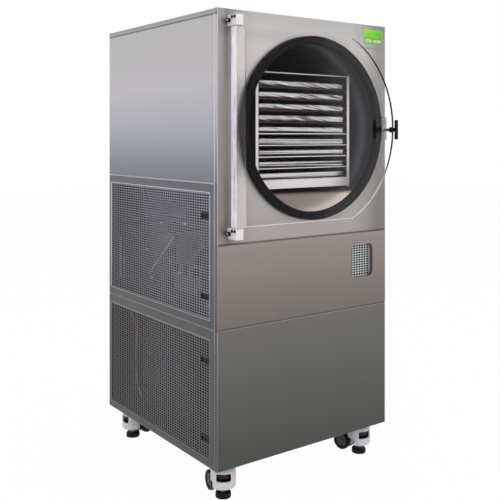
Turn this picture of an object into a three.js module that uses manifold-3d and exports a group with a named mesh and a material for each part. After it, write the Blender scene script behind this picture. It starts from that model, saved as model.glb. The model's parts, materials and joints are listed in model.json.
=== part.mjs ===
// Freeze dryer: a steel cabinet on levelling casters, with a round vacuum chamber behind a
// clear hinged door, a rack of trays inside the chamber and the machinery below it.
// Millimetres. +X is to the right seen from the front, +Y to the back, +Z up.
// The cabinet is modelled from its front left bottom corner, and the whole group is moved at
// the end so that its origin is the middle of its footprint, on the floor.

import * as THREE from 'three';
import { mergeVertices } from 'three/addons/utils/BufferGeometryUtils.js';
import Module from 'manifold-3d';

const wasm = await Module();
wasm.setup();

// Driving dimensions: gaps and sheet metal

const touch = 0.3;              // gap left between pieces that rest on each other
const runningGap = 0.4;         // radial gap round a pin or shaft that turns
const seam = 0.8;               // open line between neighbouring panels
const sheet = 1.5;              // thickness of the cabinet's panels
const hemDepth = 9.2;           // folded edge of a panel, from its outer face
const cornerWrap = 16;          // front panels fold round the corners by this much

// Driving dimensions: cabinet

const cabinetWidth = 718;
const cabinetDepth = 741;
const cabinetHeight = 1410;
const lowerSeamZ = 427;         // seam between the lower and middle panels
const upperSeamZ = 684;         // seam between the middle and chamber front panels
const sideSeamZ = 875;          // seam between the middle and upper left panels
const capLip = 13;              // height of the top cover's folded lip
const tubeSize = 25;            // square tube of the frame
const deckThickness = 2;
const basePanThickness = 3;

// Driving dimensions: chamber and its cradles

const chamberX = 382;
const chamberZ = 1047;
const chamberRadius = 289;      // inside
const chamberWall = 4;
const chamberDepth = 636;       // inside, from the cabinet's front face
const chamberLip = 12;          // how far the rim stands out of the front face
const insulationThickness = 32;
const insulationStartY = 36;
const cradleThickness = 30;
const cradleFrontY = 110;
const cradleBackY = 540;
const cradleLegSpacing = 440;
const cradleHalfWidth = 150;
const cradleBeamHeight = 40;

// Driving dimensions: gasket and door

const gasketOverhang = 13;      // from the chamber's inside to the gasket's
const gasketOverlap = 10;       // from the rim's outside to the gasket's
const gasketDepth = 19.7;
const gasketRounding = 5;
const doorLeftX = 36;
const doorThickness = 25;
const doorArcMargin = 31;       // from the gasket's outside to the door's curved edge
const doorEdgeMargin = 2;       // from the gasket's outside to the door's straight edges
const stripWidth = 35;
const stripThickness = 4.7;
const hingeBlockWidth = 26;
const hingeBlockHeight = 33;
const hingeBlockDepth = 50;
const hingeCollar = 3;          // space between a hinge block and the door's edge
const hingePinRadius = 5;
const hingePinLength = 18;
const hingeCollarRadius = 9;
const hingeBoltRadius = 7;
const hingeBoltLength = 11;
const hingeBoltY = -13;

// Driving dimensions: door handle, cam and strike

const handleInset = 18;         // from the door's outer curve to the handle's shaft
const handleShaftRadius = 5;
const handleNeckRadius = 10;
const handleDrop = 5;           // from the chamber's axis down to the handle's shaft
const handleNeckLength = 23.5;
const handleBar = { width: 8, depth: 9, height: 68 };
const camBar = { width: 7, depth: 6, height: 22 };
const camHubRadius = 6.5;
const strikeWidth = 20;
const strikeHeight = 82;
const strikeSheet = 3;
const strikeGapToDoor = 2;

// Driving dimensions: rack and trays

const rackSideGap = 84;         // from the chamber's wall to the rack's sides, level with its axis
const rackSheet = 3;
const rackPostWidth = 8;
const rackFrontY = 45;
const rackDepth = 560;
const rackTopGap = 106;         // from the chamber's top to the rack's
const rackApronHeight = 27;
const firstShelfGap = 119;      // from the chamber's bottom to the lowest shelf
const trayCount = 9;
const topTraySpace = 11;        // left over above the top tray's share of the height
const traySideGap = 15;         // from the rack's outside to a tray's side
const tray = { depth: 530, height: 20, wall: 1.2 };
const shelfSetback = 5;         // shelves and trays start this far behind the rack's posts

// Driving dimensions: display and front window

const displayWidth = 124;
const displayHeight = 82;
const screenWidth = 88;
const screenHeight = 50;
const screenRightInset = 15;
const screenTopInset = 16;
const screenFlange = 2.2;
const screenRecess = 0.5;
const windowLeftX = 554;
const windowWidth = 101;
const windowBottomZ = 531;
const windowHeight = 114;
const windowCorner = 20;
const windowDepth = 14;
const windowWall = 1.2;
const windowMargin = 5;

// Driving dimensions: side vents and their latches

const ventFrontY = 45;
const ventBackMargin = 18;      // from the back of the cabinet to a vent opening
const ventFrameMargin = { upperTop: 30, upperBottom: 27, lowerTop: 34, lowerBottom: 27 };
const ventRecess = 3;
const ventGap = 0.8;
const ventHingeGap = 1.4;
const ventPinRadius = 1.5;
const ventPinLength = 1.6;
const ventPinInset = 5;         // from the opening's back edge to the hinge axis
const ventStile = { width: 7, depth: 3 };
const latchFrontInset = 10;     // from the opening's front edge to the slider at rest
const latchSlider = { length: 29, height: 13, thickness: 2.1 };
const latchNeck = { length: 12, height: 6 };
const latchTravel = 8;
const latchKeeper = { length: 24, height: 12, thickness: 2 };
const upperLatchInset = { top: 73, bottom: 68 };   // from the opening's ends to the latch's middle
const lowerLatchInset = { top: 69, bottom: 54 };

// Driving dimensions: levelling casters, measured up from the floor

const casterHeight = 112;
const casterInset = 66;
const casterPlate = { size: 72, thickness: 5, bossRadius: 22, bossHeight: 3 };
const swivelPin = { radius: 8, length: 8 };
const casterBody = { radius: 40, bottom: 34, cavityRadius: 34, cavityBottom: 58, cavityTop: 86 };
const casterWindow = { width: 46, bottom: 59, top: 84, turn: -20 };
const casterWheel = { radius: 31, width: 20, halfGap: 8, trail: 60, lift: 0.5 };
const casterAxleRadius = 4;
const casterArm = {
  halfWidth: 6.5, endRadius: 14, footClearance: 4, hoodHalfWidth: 20, hoodBottom: 68, hoodTop: 90,
};
const footPad = { radius: 25, height: 18 };
const footStem = { radius: 6, top: 81, travel: 10 };
const thumbwheel = { radius: 32, bottom: 66, thickness: 14, notches: 10, notchDepth: 1.6 };
const casterTurns = { front_left: -12, front_right: 12, back_left: -68, back_right: 150 };

// Driving dimensions: machinery

const compressorPlace = { x: 440, y: 420 };
const compressorRadius = 85;
const compressorHeight = 235;
const condenserPlace = { x: 55, y: 190 };
const condenserSize = { depth: 45, width: 380, height: 360 };
const fanRadius = 145;
const fanHub = { radius: 26, length: 22 };
const fanBlade = { count: 5, chord: 62, thickness: 3, pitch: 32 };
const fanMotor = { radius: 38, length: 60, shaftRadius: 5 };
const pumpPlace = { x: 330, y: 200 };
const pumpMotor = { radius: 68, length: 190 };
const pumpCase = { width: 150, length: 170, height: 170 };
const inlet = { x: 130, z: 150, width: 48, height: 28, depth: 18, wall: 3 };

// Values worked out from the driving dimensions

const largeSides = 48;
const smallSides = 16;
const flatRadiusShare = Math.cos(Math.PI / largeSides);
const frameLow = hemDepth + touch;
const frameRight = cabinetWidth - frameLow;
const frameBack = cabinetDepth - frameLow;
const coverUnderside = cabinetHeight - sheet;
const sideTopZ = cabinetHeight - capLip;
const sideFrontY = cornerWrap + seam / 2;
const deckTopZ = lowerSeamZ + deckThickness;
const rimOuterRadius = chamberRadius + chamberWall;
const insulationRadius = rimOuterRadius + touch + insulationThickness;
const gasketInnerRadius = chamberRadius - gasketOverhang;
const gasketOuterRadius = rimOuterRadius + gasketOverlap;
const doorRadius = gasketOuterRadius + doorArcMargin;
const doorHalfHeight = gasketOuterRadius + doorEdgeMargin;
const doorBackY = -(gasketDepth + touch);
const doorFrontY = doorBackY - doorThickness;
const doorTopZ = chamberZ + doorHalfHeight;
const doorBottomZ = chamberZ - doorHalfHeight;
const hingeX = doorLeftX + hingeBlockWidth / 2;
const hingeY = doorBackY - doorThickness / 2;
const handleX = chamberX + doorRadius - handleInset;
const handleZ = chamberZ - handleDrop;
const rackHalfWidth = chamberRadius - rackSideGap;
const rackTopAboveCentre = chamberRadius - rackTopGap;
const firstShelfBelowCentre = chamberRadius - firstShelfGap;
const trayPitch = (rackTopAboveCentre + firstShelfBelowCentre - topTraySpace) / trayCount;
const trayHalfWidth = rackHalfWidth - traySideGap;
const shelfThickness = rackSheet;
const shelfY = rackFrontY + shelfSetback;
const casterSpots = {
  front_left: [casterInset, casterInset],
  front_right: [cabinetWidth - casterInset, casterInset],
  back_left: [casterInset, cabinetDepth - casterInset],
  back_right: [cabinetWidth - casterInset, cabinetDepth - casterInset],
};

// Solids: every piece is made of three.js geometries joined and cut by manifold-3d

function solidOf(geometry) {
  geometry.deleteAttribute('normal');
  geometry.deleteAttribute('uv');
  const merged = mergeVertices(geometry);
  const vertProperties = Float32Array.from(merged.attributes.position.array);
  const triVerts = Uint32Array.from(merged.index.array);
  return new wasm.Manifold(new wasm.Mesh({ numProp: 3, vertProperties, triVerts }));
}

function geometryOf(solid) {
  const mesh = solid.getMesh();
  const geometry = new THREE.BufferGeometry();
  geometry.setAttribute('position', new THREE.BufferAttribute(mesh.vertProperties, 3));
  geometry.setIndex(new THREE.BufferAttribute(mesh.triVerts, 1));
  geometry.computeVertexNormals();
  return geometry;
}

function join(first, ...others) {
  return others.reduce((whole, other) => whole.add(other), first);
}

function cut(whole, ...tools) {
  return tools.reduce((rest, tool) => rest.subtract(tool), whole);
}

// Moves the two ends of a unit-long shape to exact places along an axis, so that faces that
// share a plane share it to the last digit.
function setEnds(geometry, axis, [low, high]) {
  const position = geometry.attributes.position;
  const component = 'xyz'.indexOf(axis);
  for (let vertex = 0; vertex < position.count; vertex += 1) {
    const isLow = position.getComponent(vertex, component) < 0;
    position.setComponent(vertex, component, isLow ? low : high);
  }
}

// A box between two corners, given as [low, high] along each axis.
function box(x, y, z) {
  const geometry = new THREE.BoxGeometry(1, 1, 1);
  setEnds(geometry, 'x', x);
  setEnds(geometry, 'y', y);
  setEnds(geometry, 'z', z);
  return solidOf(geometry);
}

// A cylinder along an axis between two places on it, with its centre in the other two axes.
function rod(axis, radius, ends, centre, sides = smallSides) {
  const geometry = new THREE.CylinderGeometry(radius, radius, 1, sides);
  if (axis === 'x') {
    geometry.rotateZ(Math.PI / 2);
    geometry.translate(0, centre[0], centre[1]);
  } else if (axis === 'y') {
    geometry.translate(centre[0], 0, centre[1]);
  } else {
    geometry.rotateX(Math.PI / 2);
    geometry.translate(centre[0], centre[1], 0);
  }
  setEnds(geometry, axis, ends);
  return solidOf(geometry);
}

// A turned shape: the profile's points are [radius, place along the axis], the last joined to
// the first, listed anticlockwise with the radius to the right and the axis up.
function turned(profile, sides = smallSides) {
  const points = [...profile, profile[0]].map(([radius, along]) => new THREE.Vector2(radius, along));
  return solidOf(new THREE.LatheGeometry(points, sides));
}

// The same about an upright axis.
function turnedUpright(profile, sides = smallSides) {
  const points = [...profile, profile[0]].map(([radius, along]) => new THREE.Vector2(radius, along));
  const geometry = new THREE.LatheGeometry(points, sides);
  geometry.rotateX(Math.PI / 2);
  return solidOf(geometry);
}

// An outline in X and Z, made solid between two places along Y.
function plateAlongY(outline, ends, curveSegments) {
  const geometry = new THREE.ExtrudeGeometry(outline, { depth: 1, bevelEnabled: false, curveSegments });
  geometry.rotateX(Math.PI / 2);
  geometry.translate(0, 0.5, 0);
  setEnds(geometry, 'y', ends);
  return solidOf(geometry);
}

function roundedRectangle([x0, x1], [z0, z1], radius) {
  const outline = new THREE.Shape();
  outline.moveTo(x0 + radius, z0);
  outline.lineTo(x1 - radius, z0);
  outline.absarc(x1 - radius, z0 + radius, radius, -Math.PI / 2, 0);
  outline.lineTo(x1, z1 - radius);
  outline.absarc(x1 - radius, z1 - radius, radius, 0, Math.PI / 2);
  outline.lineTo(x0 + radius, z1);
  outline.absarc(x0 + radius, z1 - radius, radius, Math.PI / 2, Math.PI);
  outline.lineTo(x0, z0 + radius);
  outline.absarc(x0 + radius, z0 + radius, radius, Math.PI, 1.5 * Math.PI);
  return outline;
}

// Finishes

const finishes = {
  steel: { color: 0x9d9a97, roughness: 0.38, metalness: 1 },
  darkSteel: { color: 0x6d6e70, roughness: 0.5, metalness: 1 },
  polished: { color: 0xdcdcd8, roughness: 0.15, metalness: 1 },
  aluminium: { color: 0xc9cace, roughness: 0.35, metalness: 1 },
  acrylic: { color: 0xdfe8e6, roughness: 0.05, metalness: 0 },
  rubber: { color: 0x1c1c1e, roughness: 0.7, metalness: 0 },
  blackPlastic: { color: 0x16171a, roughness: 0.45, metalness: 0 },
  screen: { color: 0x64cd0a, roughness: 0.2, metalness: 0 },
  foam: { color: 0x2c2d30, roughness: 0.95, metalness: 0 },
  casterWhite: { color: 0xe1dee6, roughness: 0.4, metalness: 0 },
  redPlastic: { color: 0x7c1a1c, roughness: 0.5, metalness: 0 },
  blackPaint: { color: 0x1e1f22, roughness: 0.5, metalness: 0.3 },
};

function addPiece(parent, name, solid, finish) {
  const mesh = new THREE.Mesh(geometryOf(solid), new THREE.MeshStandardMaterial(finishes[finish]));
  mesh.name = name;
  parent.add(mesh);
}

// Sheet metal panels: a flat face with its edges folded back

// A side panel: its outer face lies at outerX and its folds point towards innerX.
function sidePan(outerX, innerX, [y0, y1], [z0, z1]) {
  const low = Math.min(outerX, innerX);
  const high = Math.max(outerX, innerX);
  const hollowLow = outerX < innerX ? low + sheet : low - 1;
  const hollowHigh = outerX < innerX ? high + 1 : high - sheet;
  const hollow = box([hollowLow, hollowHigh], [y0 + sheet, y1 - sheet], [z0 + sheet, z1 - sheet]);
  return cut(box([low, high], [y0, y1], [z0, z1]), hollow);
}

// A front panel: its sides wrap the corners, and its top or bottom is folded back where asked.
function frontPan([z0, z1], { foldTop, foldBottom }) {
  const insideX = [sheet, cabinetWidth - sheet];
  const hollowZ = [foldBottom ? z0 + sheet : z0 - 1, foldTop ? z1 - sheet : z1 + 1];
  const block = box([0, cabinetWidth], [0, cornerWrap], [z0, z1]);
  const hollow = box(insideX, [sheet, cornerWrap + 1], hollowZ);
  const foldTrim = box(insideX, [hemDepth, cornerWrap + 1], [z0 - 1, z1 + 1]);
  return cut(block, hollow, foldTrim);
}

// Vents: an opening in a side panel with a folded rim, and a perforated door that fills it

function ventOpening(panelBottomZ, panelTopZ, bottomMargin, topMargin, latchInset) {
  return {
    y: [ventFrontY, cabinetDepth - ventBackMargin],
    z: [panelBottomZ + bottomMargin, panelTopZ - topMargin],
    latchInset,
  };
}

const upperVent = ventOpening(
  lowerSeamZ, sideSeamZ, ventFrameMargin.upperBottom, ventFrameMargin.upperTop, upperLatchInset);
const lowerVent = ventOpening(
  0, lowerSeamZ, ventFrameMargin.lowerBottom, ventFrameMargin.lowerTop, lowerLatchInset);

function ventPivot(opening) {
  return { x: ventRecess + ventStile.depth / 2 + sheet / 2, y: opening.y[1] - ventPinInset };
}

function pierceForVent(panel, opening) {
  const rim = box(
    [0, hemDepth],
    [opening.y[0] - sheet, opening.y[1] + sheet],
    [opening.z[0] - sheet, opening.z[1] + sheet]);
  const hole = box([-1, hemDepth + 1], opening.y, opening.z);
  const pivot = ventPivot(opening);
  const pinHole = rod(
    'z', ventPinRadius + touch, [opening.z[0] - sheet - 1, opening.z[1] + sheet + 1], [pivot.x, pivot.y]);
  return cut(join(panel, rim), hole, pinHole);
}

function latchHeights(opening) {
  return [opening.z[1] - opening.latchInset.top, opening.z[0] + opening.latchInset.bottom];
}

function latchStartY(opening) {
  return opening.y[0] + latchFrontInset;
}

function ventDoor(opening) {
  const pivot = ventPivot(opening);
  const y = [opening.y[0] + ventGap, opening.y[1] - ventHingeGap];
  const z = [opening.z[0] + ventGap, opening.z[1] - ventGap];
  const face = box([ventRecess, ventRecess + sheet], y, z);
  const stile = box([ventRecess, ventRecess + sheet + ventStile.depth], [y[1] - ventStile.width, y[1]], z);
  const pins = rod('z', ventPinRadius, [z[0] - ventPinLength, z[1] + ventPinLength], [pivot.x, pivot.y]);
  const neckStartY = latchStartY(opening) + (latchSlider.length - latchNeck.length) / 2 - touch;
  const slotY = [neckStartY, neckStartY + latchNeck.length + latchTravel + 2 * touch];
  const slots = latchHeights(opening).map((height) => {
    const halfSlot = latchNeck.height / 2 + touch;
    return box([0, 2 * ventRecess + sheet], slotY, [height - halfSlot, height + halfSlot]);
  });
  return cut(join(face, stile, pins), ...slots);
}

// The slider stands in front of the vent's face and the keeper behind it, joined by the neck.
function ventLatch(opening, height) {
  const startY = latchStartY(opening);
  const middleY = startY + latchSlider.length / 2;
  const faceX = ventRecess - touch;
  const backX = ventRecess + sheet + touch;
  const slider = box(
    [faceX - latchSlider.thickness, faceX],
    [startY, startY + latchSlider.length],
    [height - latchSlider.height / 2, height + latchSlider.height / 2]);
  const neck = box(
    [faceX - latchSlider.thickness / 2, backX + latchKeeper.thickness / 2],
    [middleY - latchNeck.length / 2, middleY + latchNeck.length / 2],
    [height - latchNeck.height / 2, height + latchNeck.height / 2]);
  const keeper = box(
    [backX, backX + latchKeeper.thickness],
    [middleY - latchKeeper.length / 2, middleY + latchKeeper.length / 2],
    [height - latchKeeper.height / 2, height + latchKeeper.height / 2]);
  const dish = rod(
    'y', latchSlider.height * 0.8,
    [middleY - latchSlider.length / 3, middleY + latchSlider.length / 3],
    [faceX - latchSlider.thickness - latchSlider.height * 0.72, height]);
  return cut(join(slider, neck, keeper), dish);
}

function addVent(parent, prefix, opening) {
  addPiece(parent, `${prefix}_vent_panel`, ventDoor(opening), 'darkSteel');
  const [topHeight, bottomHeight] = latchHeights(opening);
  addPiece(parent, `${prefix}_vent_latch_top`, ventLatch(opening, topHeight), 'blackPlastic');
  addPiece(parent, `${prefix}_vent_latch_bottom`, ventLatch(opening, bottomHeight), 'blackPlastic');
}

// Side, back and top panels

function addSidePanels(parent) {
  const y = [sideFrontY, cabinetDepth];
  const lower = sidePan(0, hemDepth, y, [0, lowerSeamZ - seam / 2]);
  const middle = sidePan(0, hemDepth, y, [lowerSeamZ + seam / 2, sideSeamZ - seam / 2]);
  const upper = sidePan(0, hemDepth, y, [sideSeamZ + seam / 2, sideTopZ - seam / 2]);
  const right = sidePan(cabinetWidth, cabinetWidth - hemDepth, y, [0, sideTopZ - seam / 2]);
  addPiece(parent, 'left_lower_panel', pierceForVent(lower, lowerVent), 'steel');
  addPiece(parent, 'left_middle_panel', pierceForVent(middle, upperVent), 'steel');
  addPiece(parent, 'left_upper_panel', upper, 'steel');
  addPiece(parent, 'right_panel', right, 'steel');
}

// The power inlet's housing stands inside the back panel, open to the back, with three blades.
function inletHousing() {
  const halfWidth = inlet.width / 2;
  const halfHeight = inlet.height / 2;
  const floorY = cabinetDepth - inlet.depth;
  const shell = box(
    [inlet.x - halfWidth - inlet.wall, inlet.x + halfWidth + inlet.wall],
    [floorY - inlet.wall, cabinetDepth],
    [inlet.z - halfHeight - inlet.wall, inlet.z + halfHeight + inlet.wall]);
  const mouth = box(
    [inlet.x - halfWidth, inlet.x + halfWidth],
    [floorY, cabinetDepth + 1],
    [inlet.z - halfHeight, inlet.z + halfHeight]);
  const blades = [-1, 0, 1].map((side) => {
    const bladeX = inlet.x + side * inlet.width / 4;
    const bladeZ = inlet.z + (side === 0 ? 4 : -4);
    return box([bladeX - 1, bladeX + 1], [floorY - 1, cabinetDepth - 4], [bladeZ - 3, bladeZ + 3]);
  });
  return { shell, mouth, blades };
}

function addBackPanel(parent) {
  const x = [hemDepth + seam / 2, cabinetWidth - hemDepth - seam / 2];
  const z = [0, sideTopZ - seam / 2];
  const face = box(x, [cabinetDepth - hemDepth, cabinetDepth], z);
  const hollow = box(
    [x[0] + sheet, x[1] - sheet],
    [cabinetDepth - hemDepth - 1, cabinetDepth - sheet],
    [z[0] + sheet, z[1] - sheet]);
  const { shell, mouth, blades } = inletHousing();
  const panel = cut(join(cut(face, hollow), shell), mouth);
  addPiece(parent, 'back_panel', join(panel, ...blades), 'steel');
}

function addTopCover(parent) {
  const inside = sheet + touch;
  const top = box([0, cabinetWidth], [sideFrontY, cabinetDepth], [coverUnderside, cabinetHeight]);
  const nose = box(
    [inside, cabinetWidth - inside], [inside, sideFrontY + 1], [coverUnderside, cabinetHeight]);
  const lipZ = [cabinetHeight - capLip, cabinetHeight];
  const left = box([0, sheet], [sideFrontY, cabinetDepth], lipZ);
  const right = box([cabinetWidth - sheet, cabinetWidth], [sideFrontY, cabinetDepth], lipZ);
  const back = box([0, cabinetWidth], [cabinetDepth - sheet, cabinetDepth], lipZ);
  addPiece(parent, 'top_cover', join(top, nose, left, right, back), 'steel');
}

// Front panels

function addFrontPanels(parent) {
  const chamberPanel = frontPan([upperSeamZ + seam / 2, cabinetHeight], { foldBottom: true });
  const displayCorner = box(
    [cabinetWidth - displayWidth - seam / 2, cabinetWidth + 1],
    [-1, cornerWrap + 1],
    [cabinetHeight - displayHeight - seam / 2, cabinetHeight + 1]);
  const mouth = rod('y', rimOuterRadius + touch, [-1, sheet + 1], [chamberX, chamberZ], largeSides);
  addPiece(parent, 'front_chamber_panel', cut(chamberPanel, displayCorner, mouth), 'steel');

  const middlePanel = frontPan(
    [lowerSeamZ + seam / 2, upperSeamZ - seam / 2], { foldTop: true, foldBottom: true });
  const windowOutline = roundedRectangle(
    [windowLeftX, windowLeftX + windowWidth],
    [windowBottomZ, windowBottomZ + windowHeight],
    windowCorner);
  const window = plateAlongY(windowOutline, [-1, sheet + 1], 5);
  addPiece(parent, 'front_middle_panel', cut(middlePanel, window), 'steel');

  const lowerPanel = frontPan([0, lowerSeamZ - seam / 2], { foldTop: true, foldBottom: true });
  addPiece(parent, 'front_lower_panel', lowerPanel, 'steel');
}

// The screen behind the front window is a shallow pan whose walls reach the panel.
function addWindowScreen(parent) {
  const x = [windowLeftX - windowMargin, windowLeftX + windowWidth + windowMargin];
  const y = [sheet + touch, windowDepth];
  const z = [windowBottomZ - windowMargin, windowBottomZ + windowHeight + windowMargin];
  const hollow = box(
    [x[0] + windowWall, x[1] - windowWall],
    [y[0] - 1, y[1] - windowWall],
    [z[0] + windowWall, z[1] - windowWall]);
  addPiece(parent, 'window_screen', cut(box(x, y, z), hollow), 'darkSteel');
}

function screenPlace() {
  const right = cabinetWidth - screenRightInset;
  const top = cabinetHeight - screenTopInset;
  return { x: [right - screenWidth, right], z: [top - screenHeight, top] };
}

function addDisplay(parent) {
  const x = [cabinetWidth - displayWidth + seam / 2, cabinetWidth];
  const z = [cabinetHeight - displayHeight + seam / 2, cabinetHeight];
  const screen = screenPlace();
  const face = box(x, [0, sheet], z);
  const wrap = box([cabinetWidth - sheet, cabinetWidth], [0, cornerWrap], z);
  const bottomFold = box(x, [0, hemDepth], [z[0], z[0] + sheet]);
  const opening = box(
    [screen.x[0] - touch, screen.x[1] + touch],
    [-1, sheet + 1],
    [screen.z[0] - touch, screen.z[1] + touch]);
  addPiece(parent, 'display_panel', cut(join(face, wrap, bottomFold), opening), 'steel');

  const glass = box(screen.x, [screenRecess, hemDepth - touch], screen.z);
  const flange = box(
    [screen.x[0] - screenFlange, screen.x[1] + screenFlange],
    [sheet + touch, hemDepth - touch],
    [screen.z[0] - screenFlange, screen.z[1] + screenFlange]);
  addPiece(parent, 'touchscreen', join(glass, flange), 'screen');
}

// Frame: uprights, rails, the machinery deck and the chamber's cradles, welded into one

function railRing(bottomZ) {
  const z = [bottomZ, bottomZ + tubeSize];
  const x = [frameLow, frameRight];
  const y = [frameLow, frameBack];
  return [
    box(x, [y[0], y[0] + tubeSize], z),
    box(x, [y[1] - tubeSize, y[1]], z),
    box([x[0], x[0] + tubeSize], y, z),
    box([x[1] - tubeSize, x[1]], y, z),
  ];
}

// A cradle stands on the deck on two legs, and its saddle follows the chamber's underside.
function cradle(frontY) {
  const y = [frontY, frontY + cradleThickness];
  const saddleRadius = insulationRadius + touch;
  const sideZ = chamberZ - Math.sqrt(saddleRadius ** 2 - cradleHalfWidth ** 2);
  const beamTopZ = chamberZ - saddleRadius - cradleBeamHeight / 2;
  const beamZ = [beamTopZ - cradleBeamHeight, beamTopZ];
  const beamX = [
    chamberX - cradleLegSpacing / 2 - tubeSize / 2,
    chamberX + cradleLegSpacing / 2 + tubeSize / 2,
  ];
  const beam = box(beamX, y, beamZ);
  const legs = beamX.map((edge, index) => {
    const x = index === 0 ? [edge, edge + tubeSize] : [edge - tubeSize, edge];
    return box(x, y, [lowerSeamZ, beamZ[1]]);
  });
  const block = box(
    [chamberX - cradleHalfWidth, chamberX + cradleHalfWidth], y, [beamZ[0], sideZ]);
  const saddle = cut(block, rod('y', saddleRadius, [y[0] - 1, y[1] + 1], [chamberX, chamberZ], largeSides));
  return [beam, ...legs, saddle];
}

function addFrame(parent) {
  const baseZ = basePanThickness + touch;
  const topZ = coverUnderside - touch;
  const uprights = [];
  for (const x of [frameLow, frameRight - tubeSize]) {
    for (const y of [frameLow, frameBack - tubeSize]) {
      uprights.push(box([x, x + tubeSize], [y, y + tubeSize], [baseZ, topZ]));
    }
  }
  const deck = box([frameLow, frameRight], [frameLow, frameBack], [lowerSeamZ, deckTopZ]);
  const solid = join(
    deck,
    ...uprights,
    ...railRing(baseZ),
    ...railRing(lowerSeamZ - tubeSize),
    ...railRing(topZ - tubeSize),
    ...cradle(cradleFrontY),
    ...cradle(cradleBackY));
  addPiece(parent, 'frame', solid, 'darkSteel');
}

// The base pan carries the casters' mounting plates, each with the pin its caster turns on.
function addBasePan(parent) {
  const mounts = Object.values(casterSpots).flatMap(([x, y]) => {
    const half = casterPlate.size / 2;
    const bossBottom = -casterPlate.thickness - casterPlate.bossHeight;
    return [
      box([x - half, x + half], [y - half, y + half], [-casterPlate.thickness, 1]),
      rod('z', casterPlate.bossRadius, [bossBottom, 0], [x, y]),
      rod('z', swivelPin.radius, [bossBottom - swivelPin.length, 0], [x, y]),
    ];
  });
  const pan = box([frameLow, frameRight], [frameLow, frameBack], [0, basePanThickness]);
  addPiece(parent, 'base_pan', join(pan, ...mounts), 'darkSteel');
}

// Chamber, its insulation and its gasket, turned about the chamber's axis

function addChamber(parent) {
  const chamber = new THREE.Group();
  chamber.position.set(chamberX, 0, chamberZ);
  parent.add(chamber);

  const backY = chamberDepth + chamberWall;
  const shell = turned([
    [0, chamberDepth],
    [chamberRadius, chamberDepth],
    [chamberRadius, -chamberLip],
    [rimOuterRadius, -chamberLip],
    [rimOuterRadius, backY],
    [0, backY],
  ], largeSides);
  addPiece(chamber, 'vacuum_chamber', shell, 'darkSteel');

  const innerRadius = rimOuterRadius + touch;
  const innerBackY = backY + touch;
  const jacket = turned([
    [0, innerBackY],
    [innerRadius, innerBackY],
    [innerRadius, insulationStartY],
    [insulationRadius, insulationStartY],
    [insulationRadius, innerBackY + insulationThickness],
    [0, innerBackY + insulationThickness],
  ], largeSides);
  addPiece(chamber, 'chamber_insulation', jacket, 'foam');

  const grooveY = -chamberLip - touch;
  const gasket = turned([
    [gasketInnerRadius, -touch],
    [gasketInnerRadius, -gasketDepth + gasketRounding],
    [gasketInnerRadius + gasketRounding, -gasketDepth],
    [gasketOuterRadius - gasketRounding, -gasketDepth],
    [gasketOuterRadius, -gasketDepth + gasketRounding],
    [gasketOuterRadius, -touch],
    [rimOuterRadius + touch, -touch],
    [rimOuterRadius + touch, grooveY],
    [chamberRadius - touch, grooveY],
    [chamberRadius - touch, -touch],
  ], largeSides);
  addPiece(chamber, 'door_gasket', gasket, 'rubber');
}

// Rack and trays, placed from the chamber's axis

function rackBottom() {
  const wallRadius = chamberRadius * flatRadiusShare;
  return -Math.sqrt(wallRadius ** 2 - rackHalfWidth ** 2) + touch;
}

function shelfTop(index) {
  return -firstShelfBelowCentre + index * trayPitch;
}

function trayRack() {
  const bottom = rackBottom();
  const y = [rackFrontY, rackFrontY + rackDepth];
  const sides = [-1, 1].flatMap((side) => {
    const plateX = [side * rackHalfWidth, side * (rackHalfWidth - rackSheet)].sort((a, b) => a - b);
    const postX = [side * rackHalfWidth, side * (rackHalfWidth - rackPostWidth)].sort((a, b) => a - b);
    const height = [bottom, rackTopAboveCentre];
    return [box(plateX, y, height), box(postX, [y[0], y[0] + rackSheet], height)];
  });
  const innerX = [-rackHalfWidth + 1, rackHalfWidth - 1];
  const shelfPlaces = Array.from({ length: trayCount }, (_, index) => shelfTop(index));
  const shelves = [...shelfPlaces, rackTopAboveCentre].map(
    (top) => box(innerX, [shelfY, y[1]], [top - shelfThickness, top]));
  const apronTop = shelfTop(0) - shelfThickness;
  const apron = box(innerX, [y[0], shelfY + 1], [apronTop - rackApronHeight, apronTop + 1]);
  const apronHollow = box(
    [-rackHalfWidth + rackPostWidth, rackHalfWidth - rackPostWidth],
    [y[0] + rackSheet, shelfY + 2],
    [apronTop - rackApronHeight - 1, apronTop]);
  return join(cut(apron, apronHollow), ...sides, ...shelves);
}

function dryingTray(index) {
  const bottom = shelfTop(index) + touch;
  const x = [-trayHalfWidth, trayHalfWidth];
  const y = [shelfY + 1, shelfY + 1 + tray.depth];
  const hollow = box(
    [x[0] + tray.wall, x[1] - tray.wall],
    [y[0] + tray.wall, y[1] - tray.wall],
    [bottom + tray.wall, bottom + tray.height + 1]);
  return cut(box(x, y, [bottom, bottom + tray.height]), hollow);
}

function addRack(parent) {
  const rack = new THREE.Group();
  rack.position.set(chamberX, 0, chamberZ);
  parent.add(rack);
  addPiece(rack, 'tray_rack', trayRack(), 'aluminium');
  for (let index = 0; index < trayCount; index += 1) {
    addPiece(rack, `tray_${index + 1}`, dryingTray(index), 'polished');
  }
}

// Door: a clear plate with straight left, top and bottom edges and a round right side

function doorOutline() {
  const cornerAngle = Math.asin(doorHalfHeight / doorRadius);
  const outline = new THREE.Shape();
  outline.moveTo(doorLeftX, doorBottomZ);
  outline.lineTo(chamberX + doorRadius * Math.cos(cornerAngle), doorBottomZ);
  outline.absarc(chamberX, chamberZ, doorRadius, -cornerAngle, cornerAngle);
  outline.lineTo(doorLeftX, doorTopZ);
  return outline;
}

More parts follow.
